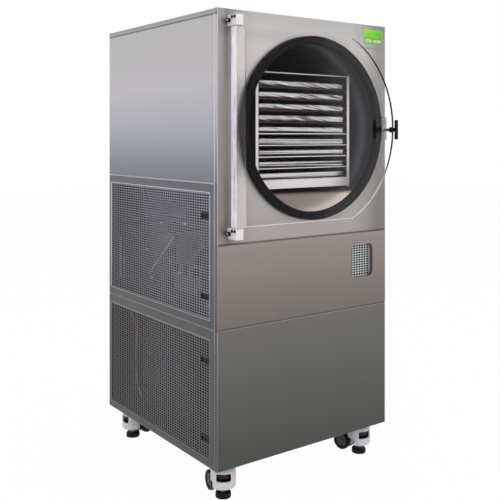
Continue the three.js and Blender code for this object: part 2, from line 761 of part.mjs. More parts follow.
function addDoorPlate(parent) {
  const plate = plateAlongY(doorOutline(), [doorFrontY, doorBackY], 24);
  const shaftHole = rod(
    'y', handleShaftRadius + runningGap, [doorFrontY - 1, doorBackY + 1], [handleX, handleZ]);
  const pinHole = hingePinLength + touch;
  const topPinHole = rod(
    'z', hingePinRadius + runningGap, [doorTopZ - pinHole, doorTopZ + 1], [hingeX, hingeY]);
  const bottomPinHole = rod(
    'z', hingePinRadius + runningGap, [doorBottomZ - 1, doorBottomZ + pinHole], [hingeX, hingeY]);
  addPiece(parent, 'door_plate', cut(plate, shaftHole, topPinHole, bottomPinHole), 'acrylic');

  const stripFrontY = doorFrontY - touch - stripThickness;
  const strip = box(
    [doorLeftX, doorLeftX + stripWidth], [stripFrontY, doorFrontY - touch], [doorBottomZ, doorTopZ]);
  addPiece(parent, 'door_hinge_strip', strip, 'acrylic');
}

// A hinge block stands on the front panel beyond one end of the door. Its pin and collar
// point to the door, and side is 1 above the door and -1 below it.
function hingeBlock(side) {
  const doorEdgeZ = chamberZ + side * doorHalfHeight;
  const range = (from, to) => [doorEdgeZ + side * from, doorEdgeZ + side * to].sort((a, b) => a - b);
  const body = box(
    [doorLeftX, doorLeftX + hingeBlockWidth],
    [-hingeBlockDepth, -touch],
    range(hingeCollar, hingeCollar + hingeBlockHeight));
  const collar = rod('z', hingeCollarRadius, range(touch, hingeCollar + 1), [hingeX, hingeY]);
  const pin = rod('z', hingePinRadius, range(-hingePinLength, hingeCollar + 1), [hingeX, hingeY]);
  const boltZ = doorEdgeZ + side * (hingeCollar + hingeBlockHeight / 2);
  const bolt = rod(
    'x', hingeBoltRadius, [doorLeftX - hingeBoltLength, doorLeftX + 1], [hingeBoltY, boltZ]);
  return join(body, collar, pin, bolt);
}

function addHinges(parent) {
  addPiece(parent, 'hinge_block_top', hingeBlock(1), 'aluminium');
  addPiece(parent, 'hinge_block_bottom', hingeBlock(-1), 'aluminium');
}

// The handle's shaft runs through the door and the strike's slot, and carries the cam behind it.
function addDoorLatch(parent) {
  const centre = [handleX, handleZ];
  const strikeFrontY = doorBackY + strikeGapToDoor;
  const strikeBackY = strikeFrontY + strikeSheet;
  const camY = [strikeBackY + 1, strikeBackY + 1 + camBar.depth];
  const neckFrontY = doorFrontY - handleNeckLength;
  const bar = box(
    [handleX - handleBar.width / 2, handleX + handleBar.width / 2],
    [neckFrontY - handleBar.depth, neckFrontY + 1],
    [handleZ - handleBar.height / 2, handleZ + handleBar.height / 2]);
  const neck = rod('y', handleNeckRadius, [neckFrontY, doorFrontY - touch], centre);
  const shaft = rod('y', handleShaftRadius, [doorFrontY - 1, camY[1]], centre);
  addPiece(parent, 'door_handle', join(bar, neck, shaft), 'blackPlastic');

  const camBody = box(
    [handleX - camBar.width / 2, handleX + camBar.width / 2],
    camY,
    [handleZ - camBar.height / 2, handleZ + camBar.height / 2]);
  const camHub = rod('y', camHubRadius, camY, centre);
  const camBore = rod('y', handleShaftRadius + touch, [camY[0] - 1, camY[1] + 1], centre);
  addPiece(parent, 'latch_cam', cut(join(camBody, camHub), camBore), 'darkSteel');

  const strikeX = [handleX - strikeWidth / 2, handleX + strikeWidth / 2];
  const strikeZ = [chamberZ - strikeHeight / 2, chamberZ + strikeHeight / 2];
  const block = box(strikeX, [strikeFrontY, -touch], strikeZ);
  const bridge = box(
    [strikeX[0] - 1, strikeX[1] + 1],
    [strikeBackY, 1],
    [strikeZ[0] + strikeSheet, strikeZ[1] - strikeSheet]);
  const slot = box(
    [handleX - camBar.width / 2 - 1, handleX + camBar.width / 2 + 1],
    [strikeFrontY - 1, strikeBackY + 1],
    [handleZ - camBar.height / 2 - 1, handleZ + camBar.height / 2 + 1]);
  const hubHole = rod('y', camHubRadius + 1, [strikeFrontY - 1, strikeBackY + 1], centre);
  addPiece(parent, 'strike_bracket', cut(block, bridge, slot, hubHole), 'darkSteel');
}

// Levelling casters, each in its own turned group with the floor at Z = 0

const wheelAxleZ = casterWheel.radius + casterWheel.lift;

function casterBodySolid() {
  const { radius, bottom, cavityRadius, cavityBottom, cavityTop } = casterBody;
  const top = casterHeight - casterPlate.thickness - casterPlate.bossHeight - touch;
  const shell = turnedUpright([
    [0, bottom], [radius * 0.92, bottom], [radius, bottom + 6], [radius, top - 20],
    [radius * 0.85, top - 4], [radius * 0.7, top], [0, top],
  ]);
  const hood = box(
    [-casterArm.hoodHalfWidth, casterArm.hoodHalfWidth],
    [0, casterWheel.trail],
    [casterArm.hoodBottom, casterArm.hoodTop]);
  const arm = box(
    [-casterArm.halfWidth, casterArm.halfWidth],
    [footPad.radius + casterArm.footClearance, casterWheel.trail],
    [wheelAxleZ - casterArm.endRadius, casterArm.hoodTop]);
  const armEnd = rod(
    'x', casterArm.endRadius, [-casterArm.halfWidth, casterArm.halfWidth],
    [casterWheel.trail, wheelAxleZ]);
  const cavity = rod('z', cavityRadius, [cavityBottom, cavityTop], [0, 0]);
  const window = box(
    [-casterWindow.width / 2, casterWindow.width / 2],
    [-radius - 1, 0],
    [casterWindow.bottom, casterWindow.top]).rotate([0, 0, casterWindow.turn]);
  const wheelBays = [-1, 1].map((side) => {
    const x = [side * (casterArm.halfWidth), side * (radius + 1)].sort((a, b) => a - b);
    return rod('x', casterWheel.radius + 2, x, [casterWheel.trail, wheelAxleZ]);
  });
  const axleHole = rod(
    'x', casterAxleRadius + runningGap, [-casterArm.halfWidth - 1, casterArm.halfWidth + 1],
    [casterWheel.trail, wheelAxleZ]);
  const stemHole = rod(
    'z', footStem.radius + runningGap, [bottom - 1, footStem.top + footStem.travel + 2], [0, 0]);
  const pinHole = rod(
    'z', swivelPin.radius + runningGap, [top - swivelPin.length, top + 1], [0, 0]);
  return cut(
    join(shell, hood, arm, armEnd), cavity, window, ...wheelBays, axleHole, stemHole, pinHole);
}

// Twin wheels joined by their axle.
function casterWheels() {
  const centre = [casterWheel.trail, wheelAxleZ];
  const outer = casterWheel.halfGap + casterWheel.width;
  const axle = rod('x', casterAxleRadius, [-outer, outer], centre);
  const wheels = [-1, 1].map((side) => {
    const x = [side * casterWheel.halfGap, side * outer].sort((a, b) => a - b);
    const tyre = rod('x', casterWheel.radius, x, centre);
    const dishX = [side * (outer - 3), side * (outer + 1)].sort((a, b) => a - b);
    return cut(tyre, rod('x', casterWheel.radius * 0.7, dishX, centre, 16));
  });
  return join(axle, ...wheels);
}

function casterThumbwheel() {
  const { radius, bottom, thickness, notches, notchDepth } = thumbwheel;
  const outline = new THREE.Shape();
  const cornerCount = notches * 4;
  for (let corner = 0; corner < cornerCount; corner += 1) {
    const angle = (corner / cornerCount) * 2 * Math.PI;
    const reach = corner % 4 < 2 ? radius : radius - notchDepth;
    const point = [reach * Math.cos(angle), reach * Math.sin(angle)];
    if (corner === 0) outline.moveTo(...point);
    else outline.lineTo(...point);
  }
  const geometry = new THREE.ExtrudeGeometry(outline, { depth: thickness, bevelEnabled: false });
  geometry.translate(0, 0, bottom);
  const bore = rod('z', footStem.radius + touch, [bottom - 1, bottom + thickness + 1], [0, 0]);
  return cut(solidOf(geometry), bore);
}

function casterFoot() {
  return turnedUpright([
    [0, 0], [footPad.radius, 0], [footPad.radius, footPad.height / 2],
    [footPad.radius - 2, footPad.height], [footStem.radius, footPad.height],
    [footStem.radius, footStem.top], [0, footStem.top],
  ]);
}

function addCasters(parent) {
  for (const [corner, [x, y]] of Object.entries(casterSpots)) {
    const caster = new THREE.Group();
    caster.position.set(x, y, -casterHeight);
    caster.rotation.z = THREE.MathUtils.degToRad(casterTurns[corner]);
    parent.add(caster);
    addPiece(caster, `${corner}_caster_body`, casterBodySolid(), 'casterWhite');
    addPiece(caster, `${corner}_caster_wheels`, casterWheels(), 'rubber');
    addPiece(caster, `${corner}_thumbwheel`, casterThumbwheel(), 'redPlastic');
    addPiece(caster, `${corner}_foot`, casterFoot(), 'rubber');
  }
}

// Machinery: a compressor, a condenser with its fan, and a vacuum pump on the deck

function addCompressor(parent) {
  const { x, y } = compressorPlace;
  const floorZ = basePanThickness + touch;
  const plateHalf = compressorRadius + 10;
  const plate = box([x - plateHalf, x + plateHalf], [y - 70, y + 70], [floorZ + 15, floorZ + 19]);
  const feet = [];
  for (const footX of [x - plateHalf + 14, x + plateHalf - 14]) {
    for (const footY of [y - 56, y + 56]) {
      feet.push(rod('z', 10, [floorZ, floorZ + 16], [footX, footY], 12));
    }
  }
  const seat = floorZ + 18;
  const top = floorZ + compressorHeight;
  const can = turnedUpright([
    [0, seat], [compressorRadius * 0.8, seat], [compressorRadius, seat + 20],
    [compressorRadius, top - 55], [compressorRadius * 0.86, top - 22],
    [compressorRadius * 0.5, top], [0, top],
  ]).translate([x, y, 0]);
  const terminal = box([x - 22, x + 22], [y - compressorRadius - 14, y], [seat + 90, seat + 140]);
  addPiece(parent, 'compressor', join(can, plate, ...feet, terminal), 'blackPaint');
}

function fanPlace() {
  return {
    hubX: condenserPlace.x + condenserSize.depth + 12,
    y: condenserPlace.y + condenserSize.width / 2,
    z: basePanThickness + touch + condenserSize.height / 2 + 10,
  };
}

// The condenser's core stands on two feet, with a shroud behind it and the motor on a bridge.
function addCondenser(parent) {
  const floorZ = basePanThickness + touch;
  const x = [condenserPlace.x, condenserPlace.x + condenserSize.depth];
  const y = [condenserPlace.y, condenserPlace.y + condenserSize.width];
  const z = [floorZ + 10, floorZ + 10 + condenserSize.height];
  const fan = fanPlace();
  const core = box(x, y, z);
  const feet = [y[0] + 10, y[1] - 40].map(
    (footY) => box([x[0], x[1] + 40], [footY, footY + 30], [floorZ, z[0] + 3]));
  const shroudX = [x[1] - 1, x[1] + 8];
  const shroud = cut(
    box(shroudX, y, z),
    rod('x', fanRadius + 8, [shroudX[0] + 1, shroudX[1] + 1], [fan.y, fan.z], 40));
  const motorX = fan.hubX + fanHub.length + 8;
  const motor = rod('x', fanMotor.radius, [motorX, motorX + fanMotor.length], [fan.y, fan.z]);
  const shaft = rod('x', fanMotor.shaftRadius, [fan.hubX + 2, motorX + 1], [fan.y, fan.z]);
  const bridgeX = [motorX + fanMotor.length / 2, motorX + fanMotor.length / 2 + 6];
  const bridge = box(bridgeX, y, [fan.z - 12, fan.z + 12]);
  const stays = [y[0], y[1] - 6].map(
    (stayY) => box([x[1] - 1, bridgeX[1]], [stayY, stayY + 6], [fan.z - 12, fan.z + 12]));
  addPiece(parent, 'condenser', join(core, ...feet, shroud, motor, shaft, bridge, ...stays), 'darkSteel');
}

function addFan(parent) {
  const fan = fanPlace();
  const hub = rod('x', fanHub.radius, [fan.hubX, fan.hubX + fanHub.length], [0, 0]);
  const blades = Array.from({ length: fanBlade.count }, (_, index) => {
    const reach = fanRadius - fanHub.radius + 6;
    const geometry = new THREE.BoxGeometry(fanBlade.thickness, fanBlade.chord, reach);
    geometry.rotateZ(THREE.MathUtils.degToRad(fanBlade.pitch - 90));
    geometry.scale(fanHub.length / fanBlade.chord, 1, 1);
    geometry.translate(fan.hubX + fanHub.length / 2, 0, fanRadius - reach / 2);
    geometry.rotateX((index / fanBlade.count) * 2 * Math.PI);
    return solidOf(geometry);
  });
  const bore = rod(
    'x', fanMotor.shaftRadius + runningGap, [fan.hubX + 2 - touch, fan.hubX + fanHub.length + 1], [0, 0]);
  const solid = cut(join(hub, ...blades), bore).translate([0, fan.y, fan.z]);
  addPiece(parent, 'fan', solid, 'blackPlastic');
}

function addVacuumPump(parent) {
  const { x, y } = pumpPlace;
  const floorZ = deckTopZ + touch;
  const axisZ = floorZ + 14 + pumpCase.height / 2;
  const halfWidth = pumpCase.width / 2;
  const caseY = [y, y + pumpCase.length];
  const body = box([x - halfWidth, x + halfWidth], caseY, [floorZ + 14, floorZ + 14 + pumpCase.height]);
  const motor = rod('y', pumpMotor.radius, [caseY[1] - 1, caseY[1] + pumpMotor.length], [x, axisZ]);
  const skids = [-halfWidth, halfWidth - 24].map(
    (offset) => box([x + offset, x + offset + 24], [y, caseY[1] + pumpMotor.length - 30],
      [floorZ, floorZ + 15]));
  const cradleBlock = box(
    [x - halfWidth, x + halfWidth],
    [caseY[1] + 90, caseY[1] + 120],
    [floorZ + 14, axisZ]);
  const filter = rod('z', 34, [floorZ + pumpCase.height, floorZ + pumpCase.height + 70], [x + 20, y + 60]);
  const port = rod('z', 14, [floorZ + pumpCase.height, floorZ + pumpCase.height + 40], [x - 40, y + 120]);
  addPiece(parent, 'vacuum_pump', join(body, motor, ...skids, cradleBlock, filter, port), 'blackPaint');
}

// Assembly

const freezeDryer = new THREE.Group();
addFrame(freezeDryer);
addBasePan(freezeDryer);
addTopCover(freezeDryer);
addSidePanels(freezeDryer);
addBackPanel(freezeDryer);
addFrontPanels(freezeDryer);
addWindowScreen(freezeDryer);
addDisplay(freezeDryer);
addVent(freezeDryer, 'upper', upperVent);
addVent(freezeDryer, 'lower', lowerVent);
addChamber(freezeDryer);
addRack(freezeDryer);
addDoorPlate(freezeDryer);
addHinges(freezeDryer);
addDoorLatch(freezeDryer);
addCasters(freezeDryer);
addCompressor(freezeDryer);
addCondenser(freezeDryer);
addFan(freezeDryer);
addVacuumPump(freezeDryer);

const bounds = new THREE.Box3().setFromObject(freezeDryer);
const footprintMiddle = bounds.getCenter(new THREE.Vector3());
freezeDryer.position.set(-footprintMiddle.x, -footprintMiddle.y, -bounds.min.z);

export default freezeDryer;
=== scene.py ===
import json
import math

import bmesh
import bpy
from mathutils import Matrix, Vector


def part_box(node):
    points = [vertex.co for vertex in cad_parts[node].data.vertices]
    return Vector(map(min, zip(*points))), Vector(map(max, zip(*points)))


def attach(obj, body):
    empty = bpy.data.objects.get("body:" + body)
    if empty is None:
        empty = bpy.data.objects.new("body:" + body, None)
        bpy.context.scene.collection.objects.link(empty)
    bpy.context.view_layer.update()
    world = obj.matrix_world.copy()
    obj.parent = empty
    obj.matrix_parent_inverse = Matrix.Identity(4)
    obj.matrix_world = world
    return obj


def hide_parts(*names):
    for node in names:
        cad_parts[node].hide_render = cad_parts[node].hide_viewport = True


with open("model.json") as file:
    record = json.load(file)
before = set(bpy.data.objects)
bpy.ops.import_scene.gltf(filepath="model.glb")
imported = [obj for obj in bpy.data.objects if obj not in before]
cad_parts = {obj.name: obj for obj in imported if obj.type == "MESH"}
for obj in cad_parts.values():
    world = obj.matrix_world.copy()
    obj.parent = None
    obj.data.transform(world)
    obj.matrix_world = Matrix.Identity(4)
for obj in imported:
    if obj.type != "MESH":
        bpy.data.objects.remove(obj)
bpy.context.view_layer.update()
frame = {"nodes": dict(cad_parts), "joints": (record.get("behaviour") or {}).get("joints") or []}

mm = 0.001


# Places taken from the frame

def middleOf(node):
    low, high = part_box(node)
    return (low + high) / 2


def jointNamed(name):
    return next(joint for joint in frame["joints"] if joint["name"] == name)


chamberAxis = middleOf("vacuum_chamber")
chamberAxis.y = 0               # the chamber lies along Y
doorLow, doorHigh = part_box("door_plate")
corners = ["front_left", "front_right", "back_left", "back_right"]


# Camera and stage

view = {
    "place": (-1.6529, -2.2805, 1.1296),
    "direction": (0.5878, 0.8090, 0),
    "lens": 55.64,
    "shiftY": -0.2264,
}


def addCamera():
    data = bpy.data.cameras.new("camera")
    data.sensor_width = 36
    data.lens = view["lens"]
    data.shift_y = view["shiftY"]
    data.clip_end = 50
    camera = bpy.data.objects.new("camera", data)
    camera.location = view["place"]
    camera.rotation_euler = Vector(view["direction"]).to_track_quat("-Z", "Y").to_euler()
    bpy.context.scene.collection.objects.link(camera)
    bpy.context.scene.camera = camera


# Shader maths

class Wire:
    # one output of a material's tree, with ordinary arithmetic on its number

    def __init__(self, tree, socket):
        self.tree = tree
        self.socket = socket

    def node(self, kind, settings=None, inputs=None, output=0):
        made = self.tree.nodes.new(kind)
        for name, value in (settings or {}).items():
            if name == "stops":
                fillRamp(made.color_ramp, value)
            else:
                setattr(made, name, value)
        for name, value in (inputs or {}).items():
            if isinstance(value, Wire):
                self.tree.links.new(value.socket, made.inputs[name])
            else:
                made.inputs[name].default_value = value
        return Wire(self.tree, made.outputs[output])

    def maths(self, operation, first, second):
        return self.node("ShaderNodeMath", {"operation": operation}, {0: first, 1: second})

    def __add__(self, other):
        return self.maths("ADD", self, other)

    def __radd__(self, other):
        return self.maths("ADD", other, self)

    def __sub__(self, other):
        return self.maths("SUBTRACT", self, other)

    def __rsub__(self, other):
        return self.maths("SUBTRACT", other, self)

    def __mul__(self, other):
        return self.maths("MULTIPLY", self, other)

    def __rmul__(self, other):
        return self.maths("MULTIPLY", other, self)

    def __truediv__(self, other):
        return self.maths("DIVIDE", self, other)


def fillRamp(ramp, stops):
    # each stop is a place with three screen values, or with one plain factor
    while len(ramp.elements) > 1:
        ramp.elements.remove(ramp.elements[-1])
    for index, (place, *levels) in enumerate(stops):
        element = ramp.elements[0] if index == 0 else ramp.elements.new(place)
        element.position = place
        element.color = colour(*levels) if len(levels) == 3 else (*levels * 3, 1)


def colour(red, green, blue):
    # screen values from 0 to 255, as the linear colour that a shader takes
    def linear(value):
        share = value / 255
        return share / 12.92 if share <= 0.04045 else ((share + 0.055) / 1.055) ** 2.4
    return (linear(red), linear(green), linear(blue), 1)


def newMaterial(name, **values):
    material = bpy.data.materials.new(name)
    material.use_nodes = True
    tree = material.node_tree
    shader = tree.nodes["Principled BSDF"]
    for words, value in values.items():
        shader.inputs[words.replace("_", " ")].default_value = value
    coordinates = tree.nodes.new("ShaderNodeTexCoord")
    return material, shader, Wire(tree, coordinates.outputs["Object"])


def feed(shader, name, wire):
    wire.tree.links.new(wire.socket, shader.inputs[name])


def stretched(place, scale, shift=(0, 0, 0)):
    return place.node("ShaderNodeMapping", None, {"Vector": place, "Scale": scale, "Location": shift})


def noise(place, scale, detail=3, roughness=0.5):
    return place.node(
        "ShaderNodeTexNoise", None,
        {"Vector": place, "Scale": scale, "Detail": detail, "Roughness": roughness})


def between(place, factor, low, high):
    # two colours mixed by a factor
    return place.node("ShaderNodeMix", {"data_type": "RGBA"}, {0: factor, 6: low, 7: high}, 2)


def bump(height, distance, strength=1.0, normal=None):
    inputs = {"Height": height, "Distance": distance, "Strength": strength}
    if normal:
        inputs["Normal"] = normal
    return height.node("ShaderNodeBump", None, inputs)


def ramped(place, axis, stops):
    # a colour or factor that changes along X, Y or Z, its stops placed in metres from low to high
    low, high = stops[0][0], stops[-1][0]
    along = place.node("ShaderNodeSeparateXYZ", None, {0: place}, "XYZ".index(axis))
    share = (along - low) / (high - low)
    spread = [((metres - low) / (high - low), *levels) for metres, *levels in stops]
    return share.node("ShaderNodeValToRGB", {"stops": spread}, {0: share})


# Materials

def brushedSteel(name, stops, across=None, acrossAxis="X", grain=(600, 600, 9), roughness=0.36,
                 metallic=0.75):
    # sheet steel with a fine grain and soft cloudy marks; its slow changes of tone along one or two axes are painted
    # light and shade
    contrast = 0.10
    material, shader, place = newMaterial(name, Metallic=metallic)
    fine = noise(stretched(place, grain), 1.0, 4, 0.65)
    cloud = noise(stretched(place, (2.2, 2.2, 1.1)), 1.6, 3, 0.5)
    tone = ramped(place, "Z", stops)
    if across:
        tone = tone.node("ShaderNodeMix", {"data_type": "RGBA", "blend_type": "MULTIPLY"}, {
            0: 1.0, 6: tone, 7: ramped(place, acrossAxis, across)}, 2)
    lighter = tone.node("ShaderNodeHueSaturation", None, {"Value": 1 + contrast, "Color": tone})
    darker = tone.node("ShaderNodeHueSaturation", None, {"Value": 1 - contrast, "Color": tone})
    mixed = between(place, fine * 0.6 + cloud * 0.4, darker, lighter)
    feed(shader, "Base Color", mixed)
    feed(shader, "Roughness", roughness - 0.08 + fine * 0.1 + cloud * 0.08)
    feed(shader, "Normal", bump(fine, 0.00008, 0.5))
    return material


def shades(tone, change):
    # a darker and a lighter colour about one of screen values
    middle = colour(*tone)[:3]
    return [(*[min(1, channel * share) for channel in middle], 1) for share in (1 - change, 1 + change)]


def plainMetal(name, tone, roughness=0.3, metallic=1.0, grain=(40, 40, 40), relief=0.00005, change=0.12):
    material, shader, place = newMaterial(name, Metallic=metallic)
    marks = noise(stretched(place, grain), 12, 4, 0.6)
    feed(shader, "Base Color", between(place, marks, *shades(tone, change)))
    feed(shader, "Roughness", roughness - 0.06 + marks * 0.12)
    feed(shader, "Normal", bump(marks, relief, 0.6))
    return material


def moulded(name, tone, roughness=0.45, grain=900, relief=0.00006, change=0.10, gloss=0.5):
    # plastic, rubber or paint with a fine pebbled surface and slight changes of colour
    material, shader, place = newMaterial(name, Specular_IOR_Level=gloss)
    pebbles = noise(place, grain, 2, 0.5)
    cloud = noise(place, 14, 3, 0.6)
    feed(shader, "Base Color", between(place, cloud, *shades(tone, change)))
    feed(shader, "Roughness", roughness - 0.05 + cloud * 0.1)
    feed(shader, "Normal", bump(pebbles, relief, 0.7))
    return material


def clearAcrylic():
    # clear sheet: what lies behind shows through, and more is reflected at a grazing angle
    material, shader, place = newMaterial("clearAcrylic", Base_Color=(0.97, 0.98, 0.98, 1), Metallic=1.0)
    smears = noise(stretched(place, (3, 3, 1.2)), 2.5, 4, 0.6)
    sheen = place.node("ShaderNodeFresnel", None, {"IOR": 1.49})
    feed(shader, "Roughness", smears * 0.05)
    feed(shader, "Alpha", sheen * 0.03 + smears * 0.003)
    return material


def stripAcrylic():
    # the hinge strip is a little milky towards its two ends
    material, shader, place = newMaterial("stripAcrylic", Base_Color=colour(240, 232, 230), Roughness=0.3)
    middle = (doorLow.z + doorHigh.z) / 2
    levels = [(-0.31, 0.36), (-0.18, 0.36), (-0.12, 0.03), (0.12, 0.03), (0.18, 0.45), (0.31, 0.5)]
    veil = ramped(place, "Z", [(middle + up, share) for up, share in levels])
    streaks = noise(stretched(place, (60, 60, 2)), 2.0, 3, 0.6)
    feed(shader, "Alpha", veil * (0.8 + streaks * 0.4))
    return material


def acrylicRim():
    # the front of the sheet's edge carries painted light and shade: a dark painted line up most of its height and
    # painted highlights along its lowest and highest parts; the rest of the edge is clear
    material, shader, place = newMaterial("acrylicRim", Roughness=0.25)
    middle = (doorLow.z + doorHigh.z) / 2
    feed(shader, "Base Color", ramped(place, "Z", [
        (middle - 0.31, 244, 242, 244), (middle - 0.2, 238, 236, 238),
        (middle - 0.13, 120, 114, 116), (middle - 0.05, 34, 30, 33),
        (middle + 0.27, 38, 34, 36), (middle + 0.31, 190, 186, 186)]))
    patches = noise(place, 24, 3, 0.6)
    front, deep = doorLow.y, 9 * mm
    shown = ramped(place, "Y", [(front, 1), (front + deep, 1), (front + deep * 1.2, 0), (doorHigh.y, 0)])
    feed(shader, "Alpha", shown * (0.85 + patches * 0.3))
    return material


# the front faces carry painted light and shade: an olive grey at the floor rising to a pale warm grey at the top, with
# a dark line of painted shade over each seam
frontToneAndShade = [
    (0.11, 76, 78, 73), (0.20, 83, 85, 80), (0.30, 92, 93, 88), (0.45, 104, 103, 99),
    (0.538, 112, 109, 105), (0.5415, 70, 63, 58), (0.5435, 70, 63, 58), (0.544, 118, 111, 107),
    (0.60, 126, 118, 114), (0.78, 150, 138, 134), (0.797, 158, 148, 144), (0.798, 82, 72, 68),
    (0.7995, 82, 72, 68), (0.8005, 168, 161, 158), (1.10, 184, 178, 175), (1.42, 197, 192, 190),
    (1.522, 176, 172, 170),
]
# the side faces carry painted light and shade too, darker low down and lighter high up, with a dark line of painted
# shade over the seam near the top
sideToneAndShade = [
    (0.11, 76, 76, 76), (0.48, 90, 89, 90), (0.54, 82, 83, 86), (0.63, 88, 89, 91), (0.76, 98, 97, 101),
    (0.94, 106, 107, 114), (0.985, 98, 99, 106), (0.99, 122, 124, 132), (1.03, 132, 134, 143),
    (1.155, 172, 173, 181), (1.30, 192, 189, 195), (1.503, 187, 185, 183), (1.5035, 74, 73, 74),
    (1.5065, 74, 73, 74), (1.507, 187, 185, 183), (1.509, 187, 185, 183), (1.5095, 160, 158, 158),
    (1.522, 158, 156, 156),
]
# the rounded folds are painted lighter as a highlight, less so near the floor
foldHighlightTone = [
    (0.11, 112, 112, 112), (0.45, 128, 128, 128), (0.55, 162, 161, 164), (0.70, 196, 195, 198),
    (1.00, 218, 217, 222), (1.522, 204, 202, 203),
]
# the pierced vent sheets carry painted light and shade, darker low down and lighter high up
meshToneAndShade = [
    (0.11, 98, 97, 100), (0.50, 104, 103, 107), (0.60, 128, 127, 134), (1.0, 142, 141, 152),
]
# factors across the chamber's front panel, a painted highlight down its middle with painted shade at its sides, and
# along the vents, painted shade towards the back
frontHighlightAcross = [
    (-0.359, 0.76), (-0.34, 0.72), (-0.325, 0.5), (-0.30, 0.7), (-0.25, 0.98), (-0.2, 1.04), (0.2, 1.0),
    (0.26, 0.84), (0.32, 0.56), (0.359, 0.57),
]
ventShadeAcross = [(-0.3, 1.0), (0.0, 1.0), (0.33, 0.66)]


def chamberLining():
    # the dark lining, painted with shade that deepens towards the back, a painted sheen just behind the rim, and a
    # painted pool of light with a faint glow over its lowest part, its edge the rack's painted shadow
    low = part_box("vacuum_chamber")[0]
    material, shader, place = newMaterial(
        "chamberSteel", Metallic=0.1, Specular_IOR_Level=0.15, Emission_Strength=1.0)
    grain = noise(stretched(place, (4, 90, 4)), 12, 4, 0.6)
    depth = ramped(place, "Y", [
        (low.y, 26, 25, 28), (low.y + 0.05, 50, 47, 53), (low.y + 0.08, 112, 104, 118),
        (low.y + 0.12, 66, 62, 70), (low.y + 0.3, 58, 56, 62)])
    height = place.node("ShaderNodeSeparateXYZ", None, {0: place}, 2)
    along = place.node("ShaderNodeSeparateXYZ", None, {0: place}, 1) - low.y
    intoLitBed = chamberAxis.z - chamber["paleBelow"] - height - along * 0.08
    share = intoLitBed.node("ShaderNodeMath", {"operation": "MULTIPLY_ADD", "use_clamp": True}, {0: intoLitBed, 1: 80.0, 2: 0.5})
    feed(shader, "Base Color", between(place, share, depth, colour(240, 226, 220)))
    feed(shader, "Emission Color", between(place, share, (0, 0, 0, 1), colour(124, 114, 110)))
    feed(shader, "Roughness", 0.3 + grain * 0.14)
    feed(shader, "Normal", bump(grain, 0.0001, 0.6))
    return material


def pressedTray():
    # polished sheet with long uneven streaks of painted reflection, light and dark, and painted shade over its foot,
    # deeper towards the left
    material, shader, place = newMaterial("trayPolish", Metallic=0.9)
    leaning = place.node("ShaderNodeMapping", None, {"Vector": place, "Rotation": (0, -0.17, 0)})
    slanted = noise(stretched(leaning, (9, 3, 300)), 1.0, 4, 0.6)
    level = noise(stretched(place, (1.5, 1, 300)), 1.0, 3, 0.5)
    height = place.node("ShaderNodeSeparateXYZ", None, {0: place}, 2) - chamberAxis.z
    upper = height.node("ShaderNodeMath", {"operation": "MULTIPLY_ADD", "use_clamp": True},
                        {0: height, 1: 20.0, 2: 0.5})
    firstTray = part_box("tray_1")[0].z
    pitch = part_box("tray_2")[0].z - firstTray
    rise = height.node("ShaderNodeMath", {"operation": "FLOORED_MODULO"},
                       {0: height - (firstTray - chamberAxis.z), 1: pitch})
    across = place.node("ShaderNodeSeparateXYZ", None, {0: place}, 0) - chamberAxis.x
    # painted shade over the foot of each tray
    foot = rise.node("ShaderNodeMath", {"operation": "MULTIPLY_ADD", "use_clamp": True},
                     {0: rise, 1: -150.0, 2: 1.15 - across * 1.8})
    reflectionStreaks = level + (slanted - level) * upper - foot * 0.24
    tone = reflectionStreaks.node("ShaderNodeValToRGB", {"stops": [
        (0.34, 50, 32, 37), (0.43, 120, 110, 113), (0.48, 182, 182, 181),
        (0.60, 206, 208, 206), (0.70, 214, 206, 208)]}, {0: reflectionStreaks})
    feed(shader, "Base Color", tone)
    feed(shader, "Roughness", 0.12 + reflectionStreaks * 0.12)
    feed(shader, "Normal", bump(reflectionStreaks, 0.0012, 0.6))
    return material


def frostedEdge():
    # the sawn edge of the acrylic: milky, with a faint painted glow, and painted highlights as bright patches among
    # dull ones along it
    material, shader, place = newMaterial("acrylicEdge", Roughness=0.3, Emission_Strength=0.12)
    patches = noise(stretched(place, (40, 40, 5)), 2.2, 5, 0.7)
    tone = patches.node("ShaderNodeValToRGB", {"stops": [
        (0.35, 182, 172, 190), (0.5, 222, 216, 232), (0.65, 248, 246, 252)]}, {0: patches})
    feed(shader, "Base Color", tone)
    feed(shader, "Emission Color", tone)
    feed(shader, "Normal", bump(patches, 0.0002, 0.5))
    return material


